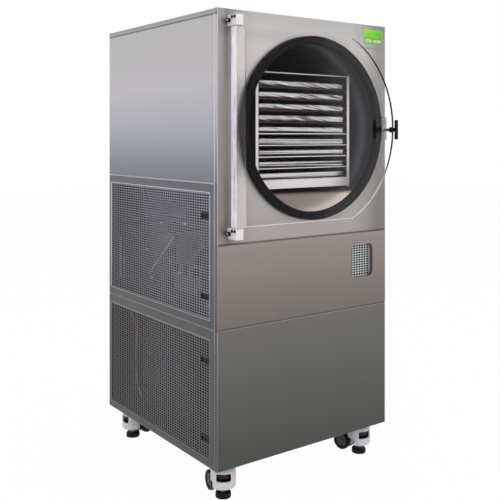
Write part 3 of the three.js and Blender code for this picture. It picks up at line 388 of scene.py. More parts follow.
def addMaterials():
    made = [
        brushedSteel("frontSteel", frontToneAndShade),
        brushedSteel("chamberFront", frontToneAndShade, frontHighlightAcross),
        brushedSteel("sideSteel", sideToneAndShade),
        brushedSteel("foldSteel", foldHighlightTone, roughness=0.3, metallic=0.85),
        # near black: painted shade for the cabinet's inner faces
        plainMetal("innerSteel", (18, 18, 20), 0.6, 0.1),
        brushedSteel("ventSteel", meshToneAndShade, ventShadeAcross, "Y", (300, 300, 20), 0.4),
        plainMetal("screenSteel", (186, 190, 186), 0.4, 0.5, (300, 300, 20)),
        moulded("frameGrey", (62, 62, 66), 0.5, 700, 0.0001, gloss=0.3),
        chamberLining(),
        moulded("foam", (20, 20, 22), 0.9, 160, 0.0012, 0.25, gloss=0.1),
        moulded("gasketBlack", (14, 14, 17), 0.6, 500, 0.00002, gloss=0.05),
        clearAcrylic(),
        stripAcrylic(),
        acrylicRim(),
        frostedEdge(),
        pressedTray(),
        plainMetal("rackSilver", (232, 224, 223), 0.34, 0.3, (60, 8, 60)),
        plainMetal("rackShade", (48, 28, 33), 0.5, 0.1, (60, 8, 60)),
        plainMetal("hingeSilver", (240, 234, 230), 0.34, 0.15, (12, 12, 120)),
        moulded("heaterMaroon", (40, 14, 18), 0.6, 300, 0.0003, gloss=0.15),
        moulded("blackPlastic", (15, 15, 17), 0.4, 900, 0.00006, gloss=0.15),
        moulded("latchFrame", (40, 45, 44), 0.45, 900, 0.00006, gloss=0.25),
        moulded("glossBlack", (12, 12, 14), 0.2, 900, 0.00002, 0.05, 0.3),
        moulded("casterWhite", (222, 219, 227), 0.35, 700, 0.00005, 0.04),
        moulded("wheelBlack", (14, 14, 16), 0.5, 500, 0.00012, gloss=0.15),
        moulded("wheelHub", (84, 83, 87), 0.4, 500, 0.00008, gloss=0.3),
        moulded("thumbRed", (58, 16, 26), 0.4, 500, 0.00008, gloss=0.2),
        moulded("machineBlack", (24, 24, 27), 0.4, 400, 0.0001, gloss=0.25),
        plainMetal("zincPlate", (188, 190, 200), 0.3, 1.0),
        plainMetal("copperTube", (196, 124, 92), 0.28, 1.0),
        plainMetal("finSilver", (140, 142, 146), 0.4, 0.9),
        moulded("wireRed", (104, 54, 54), 0.45),
        moulded("wireBlue", (60, 66, 96), 0.45),
        moulded("wireGreen", (62, 78, 62), 0.45),
        moulded("boardBrown", (80, 52, 54), 0.4, 200, 0.0002),
        moulded("driverBlue", (96, 96, 128), 0.4, 200, 0.0002),
        moulded("whiteCard", (226, 226, 224), 0.5),
    ]
    return {material.name: material for material in made}


# Meshes

def materialOf(kind):
    return materials[kind] if isinstance(kind, str) else kind


def objectFrom(name, shape, *kinds):
    # a bmesh made into an object of the scene, its materials given by name or as they are
    mesh = bpy.data.meshes.new(name)
    shape.to_mesh(mesh)
    shape.free()
    for kind in kinds:
        mesh.materials.append(materialOf(kind))
    made = bpy.data.objects.new(name, mesh)
    bpy.context.scene.collection.objects.link(made)
    return made


def smoothed(piece, angle=35):
    # rounded faces shade smoothly, edges sharper than the angle stay crisp and flat faces stay flat
    mesh = piece.data
    mesh.polygons.foreach_set("use_smooth", [True] * len(mesh.polygons))
    mesh.set_sharp_from_angle(angle=math.radians(angle))
    weighted = piece.modifiers.new("weighted", "WEIGHTED_NORMAL")
    weighted.keep_sharp = True
    return piece


def settled(piece):
    # the evaluated mesh takes the place of the mesh and its modifiers
    graph = bpy.context.evaluated_depsgraph_get()
    mesh = bpy.data.meshes.new_from_object(piece.evaluated_get(graph), depsgraph=graph)
    old = piece.data
    piece.modifiers.clear()
    piece.data = mesh
    bpy.data.meshes.remove(old)
    return piece


def joined(name, parts):
    # several objects as one, each keeping its materials
    shape = bmesh.new()
    found = []
    for part in parts:
        slots = []
        for material in part.data.materials:
            if material not in found:
                found.append(material)
            slots.append(found.index(material))
        start = len(shape.faces)
        shape.from_mesh(part.data)
        shape.faces.ensure_lookup_table()
        for face in shape.faces[start:]:
            face.material_index = slots[face.material_index] if slots else 0
    for part in parts:
        old = part.data
        bpy.data.objects.remove(part)
        if old.users == 0:
            bpy.data.meshes.remove(old)
    return objectFrom(name, shape, *found)


def moved(piece, matrix):
    piece.data.transform(matrix)
    if matrix.determinant() < 0:
        piece.data.flip_normals()
    return piece


def copied(piece, name, matrix):
    made = bpy.data.objects.new(name, piece.data.copy())
    bpy.context.scene.collection.objects.link(made)
    return moved(made, matrix)


def placed(piece, body, slotName, *nodes):
    # the last step of every piece: it rides on a body and may stand for CAD nodes
    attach(piece, body)
    if nodes:
        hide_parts(*nodes)
    return piece


def finish(piece, body, slotName, *nodes, angle=35):
    settled(smoothed(piece, angle))
    return placed(piece, body, slotName, *nodes)


axisOrder = {"x": (2, 0, 1), "y": (0, 2, 1), "z": (0, 1, 2)}


def turnedTo(axis, across, up, along):
    # a point of a profile as x, y and z: across and up lie square to the axis
    values = (across, up, along)
    return Vector([values[index] for index in axisOrder[axis]])


def lathe(name, profile, material, axis="z", centre=(0, 0, 0), sides=96, closed=False):
    # profile: points (radius, distance along the axis); closed joins its last point to its first
    shape = bmesh.new()
    rings = []
    for radius, along in profile:
        if radius < 1e-7:
            rings.append([shape.verts.new(turnedTo(axis, 0, 0, along))])
            continue
        angles = [2 * math.pi * side / sides for side in range(sides)]
        rings.append([
            shape.verts.new(turnedTo(axis, radius * math.cos(a), radius * math.sin(a), along))
            for a in angles])
    pairs = list(zip(rings, rings[1:])) + ([(rings[-1], rings[0])] if closed else [])
    for first, second in pairs:
        for side in range(sides):
            after = (side + 1) % sides
            quad = [first[side % len(first)], first[after % len(first)],
                        second[after % len(second)], second[side % len(second)]]
            face = list(dict.fromkeys(quad))
            if len(face) > 2:
                shape.faces.new(face)
    bmesh.ops.recalc_face_normals(shape, faces=shape.faces)
    bmesh.ops.translate(shape, verts=shape.verts, vec=centre)
    return objectFrom(name, shape, material)


def roundBox(name, low, high, radius, material, segments=3):
    # a box with every edge rounded
    shape = bmesh.new()
    bmesh.ops.create_cube(shape, size=1)
    size = [high[i] - low[i] for i in range(3)]
    bmesh.ops.scale(shape, verts=shape.verts, vec=size)
    bmesh.ops.translate(shape, verts=shape.verts, vec=[(high[i] + low[i]) / 2 for i in range(3)])
    if radius:
        bmesh.ops.bevel(
            shape, geom=shape.edges[:], offset=radius, segments=segments, profile=0.5,
            affect="EDGES", clamp_overlap=True)
    return objectFrom(name, shape, material)


def roundedOutline(low, high, radius, steps=6):
    # points round a rectangle with rounded corners, anticlockwise
    points = []
    centres = [
        (high[0] - radius, high[1] - radius, 0), (low[0] + radius, high[1] - radius, 90),
        (low[0] + radius, low[1] + radius, 180), (high[0] - radius, low[1] + radius, 270)]
    for across, up, start in centres:
        for step in range(steps + 1):
            angle = math.radians(start + 90 * step / steps)
            points.append((across + radius * math.cos(angle), up + radius * math.sin(angle)))
    return points


def plate(name, outline, axis, start, end, material, rim=0.0, segments=2):
    # an outline pushed along an axis, with both rims rounded
    shape = bmesh.new()
    loops = []
    for along in (start, end):
        loops.append([shape.verts.new(turnedTo(axis, across, up, along)) for across, up in outline])
    caps = [shape.faces.new(loops[0]), shape.faces.new(loops[1])]
    count = len(outline)
    for index in range(count):
        after = (index + 1) % count
        shape.faces.new([loops[0][index], loops[0][after], loops[1][after], loops[1][index]])
    bmesh.ops.recalc_face_normals(shape, faces=shape.faces)
    if rim:
        rimEdges = list({edge for cap in caps for edge in cap.edges})
        bmesh.ops.bevel(
            shape, geom=rimEdges, offset=rim, segments=segments, profile=0.5,
            affect="EDGES", clamp_overlap=True)
    return objectFrom(name, shape, material)


def loft(name, sections, material, closed=False):
    # rings of points joined one to the next, with the first and last ring filled
    shape = bmesh.new()
    rings = [[shape.verts.new(point) for point in section] for section in sections]
    count = len(rings[0])
    pairs = list(zip(rings, rings[1:])) + ([(rings[-1], rings[0])] if closed else [])
    for first, second in pairs:
        for index in range(count):
            after = (index + 1) % count
            shape.faces.new([first[index], first[after], second[after], second[index]])
    if not closed:
        shape.faces.new(rings[0])
        shape.faces.new(rings[-1])
    bmesh.ops.recalc_face_normals(shape, faces=shape.faces)
    return objectFrom(name, shape, material)


def pipe(name, points, radius, material, sides=10, smooth=True):
    # a round tube along a smooth line through the points, with closed ends
    data = bpy.data.curves.new(name, "CURVE")
    data.dimensions = "3D"
    data.bevel_depth = radius
    data.bevel_resolution = max(1, sides // 4)
    data.use_fill_caps = True
    data.resolution_u = 8
    spline = data.splines.new("BEZIER" if smooth else "POLY")
    if smooth:
        spline.bezier_points.add(len(points) - 1)
        for knot, point in zip(spline.bezier_points, points):
            knot.co = point
            knot.handle_left_type = knot.handle_right_type = "AUTO"
    else:
        spline.points.add(len(points) - 1)
        for knot, point in zip(spline.points, points):
            knot.co = (*point, 1)
    line = bpy.data.objects.new(name, data)
    bpy.context.scene.collection.objects.link(line)
    graph = bpy.context.evaluated_depsgraph_get()
    mesh = bpy.data.meshes.new_from_object(line.evaluated_get(graph), depsgraph=graph)
    bpy.data.objects.remove(line)
    shape = bmesh.new()
    shape.from_mesh(mesh)
    bmesh.ops.remove_doubles(shape, verts=shape.verts, dist=1e-6)
    bmesh.ops.recalc_face_normals(shape, faces=shape.faces)
    bpy.data.meshes.remove(mesh)
    return objectFrom(name, shape, material)


def folded(node, material, foldMaterial, radius=0.5 * mm, segments=2, name=None):
    # a finished copy of a CAD node: its edges are rounded, and the rounding takes the second material
    shape = bmesh.new()
    shape.from_mesh(frame["nodes"][node].data)
    bmesh.ops.remove_doubles(shape, verts=shape.verts, dist=1e-5)
    bmesh.ops.dissolve_limit(
        shape, angle_limit=math.radians(0.5), verts=shape.verts[:], edges=shape.edges[:])
    sharp = [
        edge for edge in shape.edges
        if len(edge.link_faces) == 2 and edge.calc_face_angle(0) > math.radians(40)]
    for face in shape.faces:
        face.material_index = 0
    bmesh.ops.bevel(
        shape, geom=sharp, offset=radius, segments=segments, profile=0.5,
        affect="EDGES", clamp_overlap=True, material=1)
    return objectFrom(name or node + "_finish", shape, material, foldMaterial)


def finishedNode(node, body, slotName, material, foldMaterial=None, radius=0.5 * mm):
    piece = folded(node, material, foldMaterial or material, radius)
    return finish(piece, body, slotName, node)


# Geometry Nodes that repeat a part on the points of a mesh, and a round of parts about an axis

def newTree(name, sockets):
    tree = bpy.data.node_groups.new(name, "GeometryNodeTree")
    tree.interface.new_socket("Geometry", in_out="INPUT", socket_type="NodeSocketGeometry")
    for label, kind in sockets:
        tree.interface.new_socket(label, in_out="INPUT", socket_type=kind)
    tree.interface.new_socket("Geometry", in_out="OUTPUT", socket_type="NodeSocketGeometry")
    return tree, tree.nodes.new("NodeGroupInput"), tree.nodes.new("NodeGroupOutput")


def treeNode(tree, kind, settings, inputs):
    made = tree.nodes.new(kind)
    for name, value in settings.items():
        setattr(made, name, value)
    for name, value in inputs.items():
        if isinstance(value, bpy.types.NodeSocket):
            tree.links.new(value, made.inputs[name])
        else:
            made.inputs[name].default_value = value
    return made


def runTree(name, base, tree, values):
    # the tree's result on the base object, as a plain mesh object
    modifier = base.modifiers.new("tree", "NODES")
    modifier.node_group = tree
    for item in tree.interface.items_tree:
        if item.in_out == "INPUT" and item.name in values:
            modifier[item.identifier] = materialOf(values[item.name])
    graph = bpy.context.evaluated_depsgraph_get()
    mesh = bpy.data.meshes.new_from_object(base.evaluated_get(graph), depsgraph=graph)
    bpy.data.objects.remove(base)
    made = bpy.data.objects.new(name, mesh)
    bpy.context.scene.collection.objects.link(made)
    return made


def pointTree():
    # the part stands on every point of the mesh
    tree, source, result = newTree("partOnPoints", [
        ("Part", "NodeSocketObject"), ("Scale", "NodeSocketFloat"), ("Material", "NodeSocketMaterial")])
    part = treeNode(tree, "GeometryNodeObjectInfo", {"transform_space": "ORIGINAL"}, {
        "Object": source.outputs["Part"]})
    copies = treeNode(tree, "GeometryNodeInstanceOnPoints", {}, {
        "Points": source.outputs["Geometry"], "Instance": part.outputs["Geometry"],
        "Scale": source.outputs["Scale"]})
    real = treeNode(tree, "GeometryNodeRealizeInstances", {}, {"Geometry": copies.outputs[0]})
    coat = treeNode(tree, "GeometryNodeSetMaterial", {}, {
        "Geometry": real.outputs[0], "Material": source.outputs["Material"]})
    tree.links.new(coat.outputs[0], result.inputs[0])
    return tree


def roundTree():
    # the part, modelled off the Z axis, is repeated all the way round it
    tree, source, result = newTree("partAllRound", [
        ("Part", "NodeSocketObject"), ("Count", "NodeSocketInt"), ("Material", "NodeSocketMaterial")])
    part = treeNode(tree, "GeometryNodeObjectInfo", {"transform_space": "ORIGINAL"}, {
        "Object": source.outputs["Part"]})
    places = treeNode(tree, "GeometryNodeMeshLine", {}, {
        "Count": source.outputs["Count"], "Offset": (0, 0, 0)})
    index = treeNode(tree, "GeometryNodeInputIndex", {}, {})
    turn = treeNode(tree, "ShaderNodeMath", {"operation": "MULTIPLY"}, {
        0: index.outputs[0], 1: 2 * math.pi})
    share = treeNode(tree, "ShaderNodeMath", {"operation": "DIVIDE"}, {
        0: turn.outputs[0], 1: source.outputs["Count"]})
    angles = treeNode(tree, "ShaderNodeCombineXYZ", {}, {"Z": share.outputs[0]})
    copies = treeNode(tree, "GeometryNodeInstanceOnPoints", {}, {
        "Points": places.outputs[0], "Instance": part.outputs["Geometry"],
        "Rotation": angles.outputs[0]})
    real = treeNode(tree, "GeometryNodeRealizeInstances", {}, {"Geometry": copies.outputs[0]})
    coat = treeNode(tree, "GeometryNodeSetMaterial", {}, {
        "Geometry": real.outputs[0], "Material": source.outputs["Material"]})
    tree.links.new(coat.outputs[0], result.inputs[0])
    return tree


def sheetTree():
    # the border is kept, and a field of pierced cells fills its window
    tree, source, result = newTree("piercedSheet", [
        ("Cell", "NodeSocketObject"), ("Columns", "NodeSocketInt"), ("Rows", "NodeSocketInt"),
        ("Width", "NodeSocketFloat"), ("Height", "NodeSocketFloat"), ("Material", "NodeSocketMaterial")])
    cell = treeNode(tree, "GeometryNodeObjectInfo", {"transform_space": "ORIGINAL"}, {
        "Object": source.outputs["Cell"]})
    grid = treeNode(tree, "GeometryNodeMeshGrid", {}, {
        "Size X": source.outputs["Width"], "Size Y": source.outputs["Height"],
        "Vertices X": source.outputs["Columns"], "Vertices Y": source.outputs["Rows"]})
    copies = treeNode(tree, "GeometryNodeInstanceOnPoints", {}, {
        "Points": grid.outputs[0], "Instance": cell.outputs["Geometry"]})
    real = treeNode(tree, "GeometryNodeRealizeInstances", {}, {"Geometry": copies.outputs[0]})
    both = tree.nodes.new("GeometryNodeJoinGeometry")
    tree.links.new(real.outputs[0], both.inputs[0])
    tree.links.new(source.outputs["Geometry"], both.inputs[0])
    welded = treeNode(tree, "GeometryNodeMergeByDistance", {}, {
        "Geometry": both.outputs[0], "Distance": 0.00005})
    coat = treeNode(tree, "GeometryNodeSetMaterial", {}, {
        "Geometry": welded.outputs[0], "Material": source.outputs["Material"]})
    tree.links.new(coat.outputs[0], result.inputs[0])
    return tree


trees = {"points": pointTree(), "round": roundTree(), "sheet": sheetTree()}


def onPoints(name, points, part, material, scale=1.0):
    mesh = bpy.data.meshes.new(name)
    mesh.from_pydata([tuple(point) for point in points], [], [])
    base = bpy.data.objects.new(name, mesh)
    bpy.context.scene.collection.objects.link(base)
    made = runTree(name, base, trees["points"], {"Part": part, "Scale": scale, "Material": material})
    bpy.data.objects.remove(part)
    return made


def allRound(name, part, count, material, axis, centre):
    base = bpy.data.objects.new(name, bpy.data.meshes.new(name))
    bpy.context.scene.collection.objects.link(base)
    made = runTree(name, base, trees["round"], {"Part": part, "Count": count, "Material": material})
    bpy.data.objects.remove(part)
    turn = {"z": Matrix(), "x": Matrix.Rotation(math.pi / 2, 4, "Y"),
            "y": Matrix.Rotation(-math.pi / 2, 4, "X")}[axis]
    return moved(made, Matrix.Translation(centre) @ turn)


def piercedCell(pitch, hole, thickness):
    # one cell of sheet with an oblong hole of eight sides, open at its four edges
    shape = bmesh.new()
    around = [(1, 0), (1, 1), (0, 1), (-1, 1), (-1, 0), (-1, -1), (0, -1), (1, -1)]
    rings = {}
    for level in (thickness / 2, -thickness / 2):
        rings[level, "out"] = [
            shape.verts.new((across * pitch[0] / 2, up * pitch[1] / 2, level)) for across, up in around]
        rings[level, "in"] = [
            shape.verts.new((across * hole[0] / 2 * reach, up * hole[1] / 2 * reach, level))
            for across, up, reach in [(a, u, 0.84 if a and u else 1) for a, u in around]]
    top, bottom = thickness / 2, -thickness / 2
    for index in range(8):
        after = (index + 1) % 8
        out, inn = rings[top, "out"], rings[top, "in"]
        shape.faces.new([out[index], out[after], inn[after], inn[index]])
        low, lowIn = rings[bottom, "out"], rings[bottom, "in"]
        shape.faces.new([low[after], low[index], lowIn[index], lowIn[after]])
        shape.faces.new([inn[after], lowIn[after], lowIn[index], inn[index]])
    return objectFrom("cell", shape)


def piercedSheet(name, outline, columns, rows, pitch, hole, thickness, material, holeShadeMaterial):
    # a flat sheet in the XY plane about the origin, pierced in its middle, with a plain margin
    shape = bmesh.new()
    half = (columns * pitch[0] / 2, rows * pitch[1] / 2)
    across, up = pitch[0] / 2, pitch[1] / 2
    inner = [(-half[0] + across * i, -half[1]) for i in range(2 * columns)]
    inner += [(half[0], -half[1] + up * i) for i in range(2 * rows)]
    inner += [(half[0] - across * i, half[1]) for i in range(2 * columns)]
    inner += [(-half[0], half[1] - up * i) for i in range(2 * rows)]
    walls = []
    for level in (thickness / 2, -thickness / 2):
        edges = []
        for loop in (inner, outline):
            verts = [shape.verts.new((*point, level)) for point in loop]
            edges += [shape.edges.new((verts[i - 1], verts[i])) for i in range(len(verts))]
            if loop is outline:
                walls.append(verts)
        bmesh.ops.triangle_fill(shape, use_beauty=True, edges=edges)
    for index in range(len(outline)):
        shape.faces.new([walls[0][index - 1], walls[0][index], walls[1][index], walls[1][index - 1]])
    border = objectFrom(name + "_border", shape)
    cell = piercedCell(pitch, hole, thickness)
    made = runTree(name, border, trees["sheet"], {
        "Cell": cell, "Columns": columns, "Rows": rows,
        "Width": (columns - 1) * pitch[0], "Height": (rows - 1) * pitch[1], "Material": material})
    bpy.data.objects.remove(cell)
    tidy = bmesh.new()
    tidy.from_mesh(made.data)
    bmesh.ops.recalc_face_normals(tidy, faces=tidy.faces)
    tidy.to_mesh(made.data)
    tidy.free()
    # the walls of the holes take the dark second material as painted shade
    made.data.materials.append(materialOf(holeShadeMaterial))
    for face in made.data.polygons:
        inField = abs(face.center.x) < half[0] and abs(face.center.y) < half[1]
        if inField and abs(face.normal.z) < 0.5:
            face.material_index = len(made.data.materials) - 1
    return made


# Cabinet panels

cabinet = {
    "bendRadius": 1.6 * mm,     # rounding of the outer folds
    "shortestBend": 30 * mm,    # shorter edges are left as they are
}
cabinetLow = Vector((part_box("left_upper_panel")[0].x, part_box("front_chamber_panel")[0].y,
                     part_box("front_lower_panel")[0].z))
cabinetHigh = Vector((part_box("right_panel")[1].x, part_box("back_panel")[1].y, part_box("top_cover")[1].z))


def onCabinetFace(point, axis):
    return min(abs(point[axis] - cabinetLow[axis]), abs(point[axis] - cabinetHigh[axis])) < 0.1 * mm


def isOuterBend(edge):
    first, second = (vert.co for vert in edge.verts)
    if len(edge.link_faces) != 2 or edge.calc_length() < cabinet["shortestBend"]:
        return False
    onFace = any(onCabinetFace(first, axis) and onCabinetFace(second, axis) for axis in range(3))
    return onFace and edge.calc_face_angle(0) > math.radians(40) and edge.is_convex


def addPanel(node):
    # front, side and folded steel: each face takes the painted light and shade of the side that it looks to, the
    # rounded folds a painted highlight, and faces inside the cabinet a near-black painted shade
    shape = bmesh.new()
    shape.from_mesh(frame["nodes"][node].data)
    bmesh.ops.remove_doubles(shape, verts=shape.verts, dist=1e-5)
    bmesh.ops.dissolve_limit(
        shape, angle_limit=math.radians(0.5), verts=shape.verts[:], edges=shape.edges[:])
    for face in shape.faces:
        outside = onCabinetFace(face.calc_center_median(), 0) or onCabinetFace(face.calc_center_median(), 1)
        outside = outside or onCabinetFace(face.calc_center_median(), 2)
        looksOut = outside or face.normal.y < -0.7 or face.calc_center_median().y < cabinetLow.y + 12 * mm
        face.material_index = 3 if not looksOut else 0 if face.normal.y < -0.7 else 1
    bends = [edge for edge in shape.edges if isOuterBend(edge)]
    bmesh.ops.bevel(
        shape, geom=bends, offset=cabinet["bendRadius"], segments=3, profile=0.5,
        affect="EDGES", clamp_overlap=True, material=2)
    front = "chamberFront" if node in ("front_chamber_panel", "display_panel") else "frontSteel"
    piece = objectFrom(
        node + "_sheet", shape, front, "sideSteel", "foldSteel", "innerSteel")
    finish(piece, "cabinet", "stainless_panel", node)


def addPanels():
    for node in [
            "top_cover", "left_upper_panel", "left_middle_panel", "left_lower_panel", "right_panel",
            "back_panel", "front_chamber_panel", "front_middle_panel", "front_lower_panel",
            "display_panel"]:
        addPanel(node)
    print("panels folded")


# Side vents: pierced sheets in folded rims, with slide latches

vent = {
    "pitch": (14.2 * mm, 8.5 * mm),
    "hole": (10.6 * mm, 6.1 * mm),
    "sheet": 0.9 * mm,
    "margin": 3 * mm,
    "pin": 1.6 * mm,            # the hinge pins reach beyond the sheet by this much
    "rimRadius": 1.3 * mm,
}
latch = {
    "bezel": (42 * mm, 22 * mm),
    "border": 2.2 * mm,
    "proud": 1.6 * mm,
    "slot": 13.8 * mm,
    "grip": 8 * mm,
}


def latchSlot(name, end):
    # the opening inside the bezel, in which the latch slides, as its lowest and highest Y and Z
    low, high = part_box(f"{name}_vent_latch_{end}")
    middleZ = (low.z + high.z) / 2
    length = latch["bezel"][0] - 2 * latch["border"]
    return (low.y, middleZ - latch["slot"] / 2), (low.y + length, middleZ + latch["slot"] / 2)


def cutSlot(piece, low, high):
    # cuts a rectangle out of a thin sheet that stands in the YZ plane
    shape = bmesh.new()
    shape.from_mesh(piece.data)
    reach = vent["pitch"][0]
    for axis, value in ((1, low[0]), (1, high[0]), (2, low[1]), (2, high[1])):
        near = [
            face for face in shape.faces
            if low[0] - reach < face.calc_center_median().y < high[0] + reach
            and low[1] - reach < face.calc_center_median().z < high[1] + reach]
        parts = set(near)
        for face in near:
            parts.update(face.edges)
            parts.update(face.verts)
        point, normal = Vector(), Vector()
        point[axis], normal[axis] = value, 1
        bmesh.ops.bisect_plane(shape, geom=list(parts), plane_co=point, plane_no=normal)
    inside = [
        face for face in shape.faces
        if low[0] < face.calc_center_median().y < high[0] and low[1] < face.calc_center_median().z < high[1]]
    bmesh.ops.delete(shape, geom=inside, context="FACES")
    shape.to_mesh(piece.data)
    shape.free()


def addVent(name):
    node = name + "_vent_panel"
    low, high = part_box(node)
    low.z += vent["pin"]
    high.z -= vent["pin"]
    width, height = high.y - low.y, high.z - low.z
    columns = int((width - 2 * vent["margin"]) / vent["pitch"][0])
    rows = int((height - 2 * vent["margin"]) / vent["pitch"][1])
    outline = [(-width / 2, -height / 2), (width / 2, -height / 2),
               (width / 2, height / 2), (-width / 2, height / 2)]
    sheet = piercedSheet(
        node + "_pierced", outline, columns, rows, vent["pitch"], vent["hole"], vent["sheet"],
        "ventSteel", "blackPlastic")
    centre = Vector((low.x + vent["sheet"] / 2, (low.y + high.y) / 2, (low.z + high.z) / 2))
    toSide = Matrix(((0, 0, 1, 0), (1, 0, 0, 0), (0, 1, 0, 0), (0, 0, 0, 1)))
    moved(sheet, Matrix.Translation(centre) @ toSide)
    for end in ("top", "bottom"):
        slotLow, slotHigh = latchSlot(name, end)
        cutSlot(sheet, slotLow, slotHigh)
    thick = vent["sheet"]
    lips = [
        roundBox("lip", (low.x + thick, start[0], start[1]), (high.x, end[0], end[1]), 0.3 * mm, "ventSteel", 1)
        for start, end in (
            ((low.y, low.z), (low.y + thick, high.z)), ((high.y - 7 * mm, low.z), (high.y, high.z)),
            ((low.y, low.z), (high.y, low.z + thick)), ((low.y, high.z - thick), (high.y, high.z)))]
    axisX, axisY = jointNamed(name + "_vent_hinge")["pos_m"][:2]
    pins = [
        lathe("pin", [(0, start), (1.5 * mm, start), (1.5 * mm, end), (0, end)], "zincPlate",
              "z", (axisX, axisY, 0), 16)
        for start, end in [(low.z - vent["pin"], low.z + 1 * mm), (high.z - 1 * mm, high.z + vent["pin"])]]
    leaf = joined(node + "_sheet", [sheet, *lips, *pins])
    placed(leaf, name + "_vent", "vent_sheet", node)
    for end in ("top", "bottom"):
        addLatch(name, end, low.x)
    addVentRim(name, low, high)


def addLatch(name, end, ventFace):
    node = f"{name}_vent_latch_{end}"
    low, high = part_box(node)
    middleZ = (low.z + high.z) / 2
    wide, tall = latch["bezel"]
    startY = low.y - latch["border"]
    outer = roundedOutline((startY, middleZ - tall / 2), (startY + wide, middleZ + tall / 2), 2 * mm)
    inner = roundedOutline(
        (startY + latch["border"], middleZ - latch["slot"] / 2),
        (startY + wide - latch["border"], middleZ + latch["slot"] / 2), 1 * mm)
    face, foot = ventFace - latch["proud"], ventFace + 0.2 * mm
    rings = [[(x, y, z) for y, z in outline] for outline, x in (
        (outer, foot), (outer, face + 0.5 * mm),
        (roundedOutline((startY + 0.5 * mm, middleZ - tall / 2 + 0.5 * mm),
                        (startY + wide - 0.5 * mm, middleZ + tall / 2 - 0.5 * mm), 1.6 * mm), face),
        (inner, face), (inner, foot))]
    bezel = loft(node + "_bezel", rings, "latchFrame", closed=True)
    finish(bezel, name + "_vent", "black_plastic")
    slider = roundBox(
        node, (low.x + 0.8 * mm, low.y, low.z), (high.x, high.y, high.z), 0.8 * mm,
        "blackPlastic")
    halfGrip = latch["grip"] / 2
    middleY = (low.y + high.y) / 2
    ridges = [
        roundBox("ridge", (low.x, middleY + step * mm - 0.7 * mm, middleZ - halfGrip),
                 (low.x + 1.4 * mm, middleY + step * mm + 0.7 * mm, middleZ + halfGrip),
                 0.4 * mm, "glossBlack", 2)
        for step in (-6, -3, 0, 3, 6)]
    slide = joined(node + "_slide", [slider, *ridges])
    finish(slide, f"{name}_{end}_latch", "black_plastic", node)


def addVentRim(name, low, high):
    # the rolled edge of the opening that the vent stands in, in the folds' painted highlight
    radius = vent["rimRadius"]
    gap = 1.0 * mm
    face = cabinetLow.x + radius * 0.35
    y = (low.y - gap - radius, high.y + gap + 3 * mm)
    z = (low.z - gap - radius, high.z + gap + radius)
    ring = [(face, y[0], z[0]), (face, y[1], z[0]), (face, y[1], z[1]), (face, y[0], z[1]),
            (face, y[0], z[0])]
    bars = [
        pipe("bar", [start, end], radius, "foldSteel", 8, smooth=False)
        for start, end in zip(ring, ring[1:])]
    rim = joined(name + "_vent_rim", bars)
    finish(rim, "cabinet", "stainless_panel", angle=60)


# Window in the middle front panel

window = {
    "corner": 20 * mm,
    "margin": 5 * mm,           # from the pan's flange to its wall
    "wall": 1.2 * mm,
    "pitch": (12.4 * mm, 8.2 * mm),
    "hole": (9.2 * mm, 5.8 * mm),
    "columns": 7,
    "rows": 13,
}


def addWindow():
    low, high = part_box("window_screen")
    margin, wall = window["margin"], window["wall"]
    inside = [(low.x + margin, low.z + margin), (high.x - margin, high.z - margin)]
    inner = roundedOutline(*inside, window["corner"], 10)
    outer = roundedOutline(
        (inside[0][0] - wall, inside[0][1] - wall), (inside[1][0] + wall, inside[1][1] + wall),
        window["corner"] + wall, 10)
    front, back = low.y, high.y
    rings = [[(x, y, z) for x, z in outline] for outline, y in (
        (inner, front), (outer, front), (outer, back), (inner, back))]
    well = loft("well", rings, "sideSteel", closed=True)
    wide, tall = high.x - low.x, high.z - low.z
    sheet = piercedSheet(
        "screen", roundedOutline((-wide / 2, -tall / 2), (wide / 2, tall / 2), 24 * mm, 8),
        window["columns"], window["rows"], window["pitch"], window["hole"], wall, "screenSteel",
        "blackPlastic")
    centre = Vector(((low.x + high.x) / 2, back - wall / 2, (low.z + high.z) / 2))
    moved(sheet, Matrix.Translation(centre) @ Matrix.Rotation(math.pi / 2, 4, "X"))
    pan = joined("window_screen_pan", [well, sheet])
    placed(pan, "cabinet", "vent_sheet", "window_screen")


# Display

display = {
    "border": 2.2 * mm,
    "cornerRadius": 2 * mm,
    "buttonColour": (214, 228, 190),
    "paleGreen": (150, 214, 84),
    "darkMark": (40, 66, 30),
}


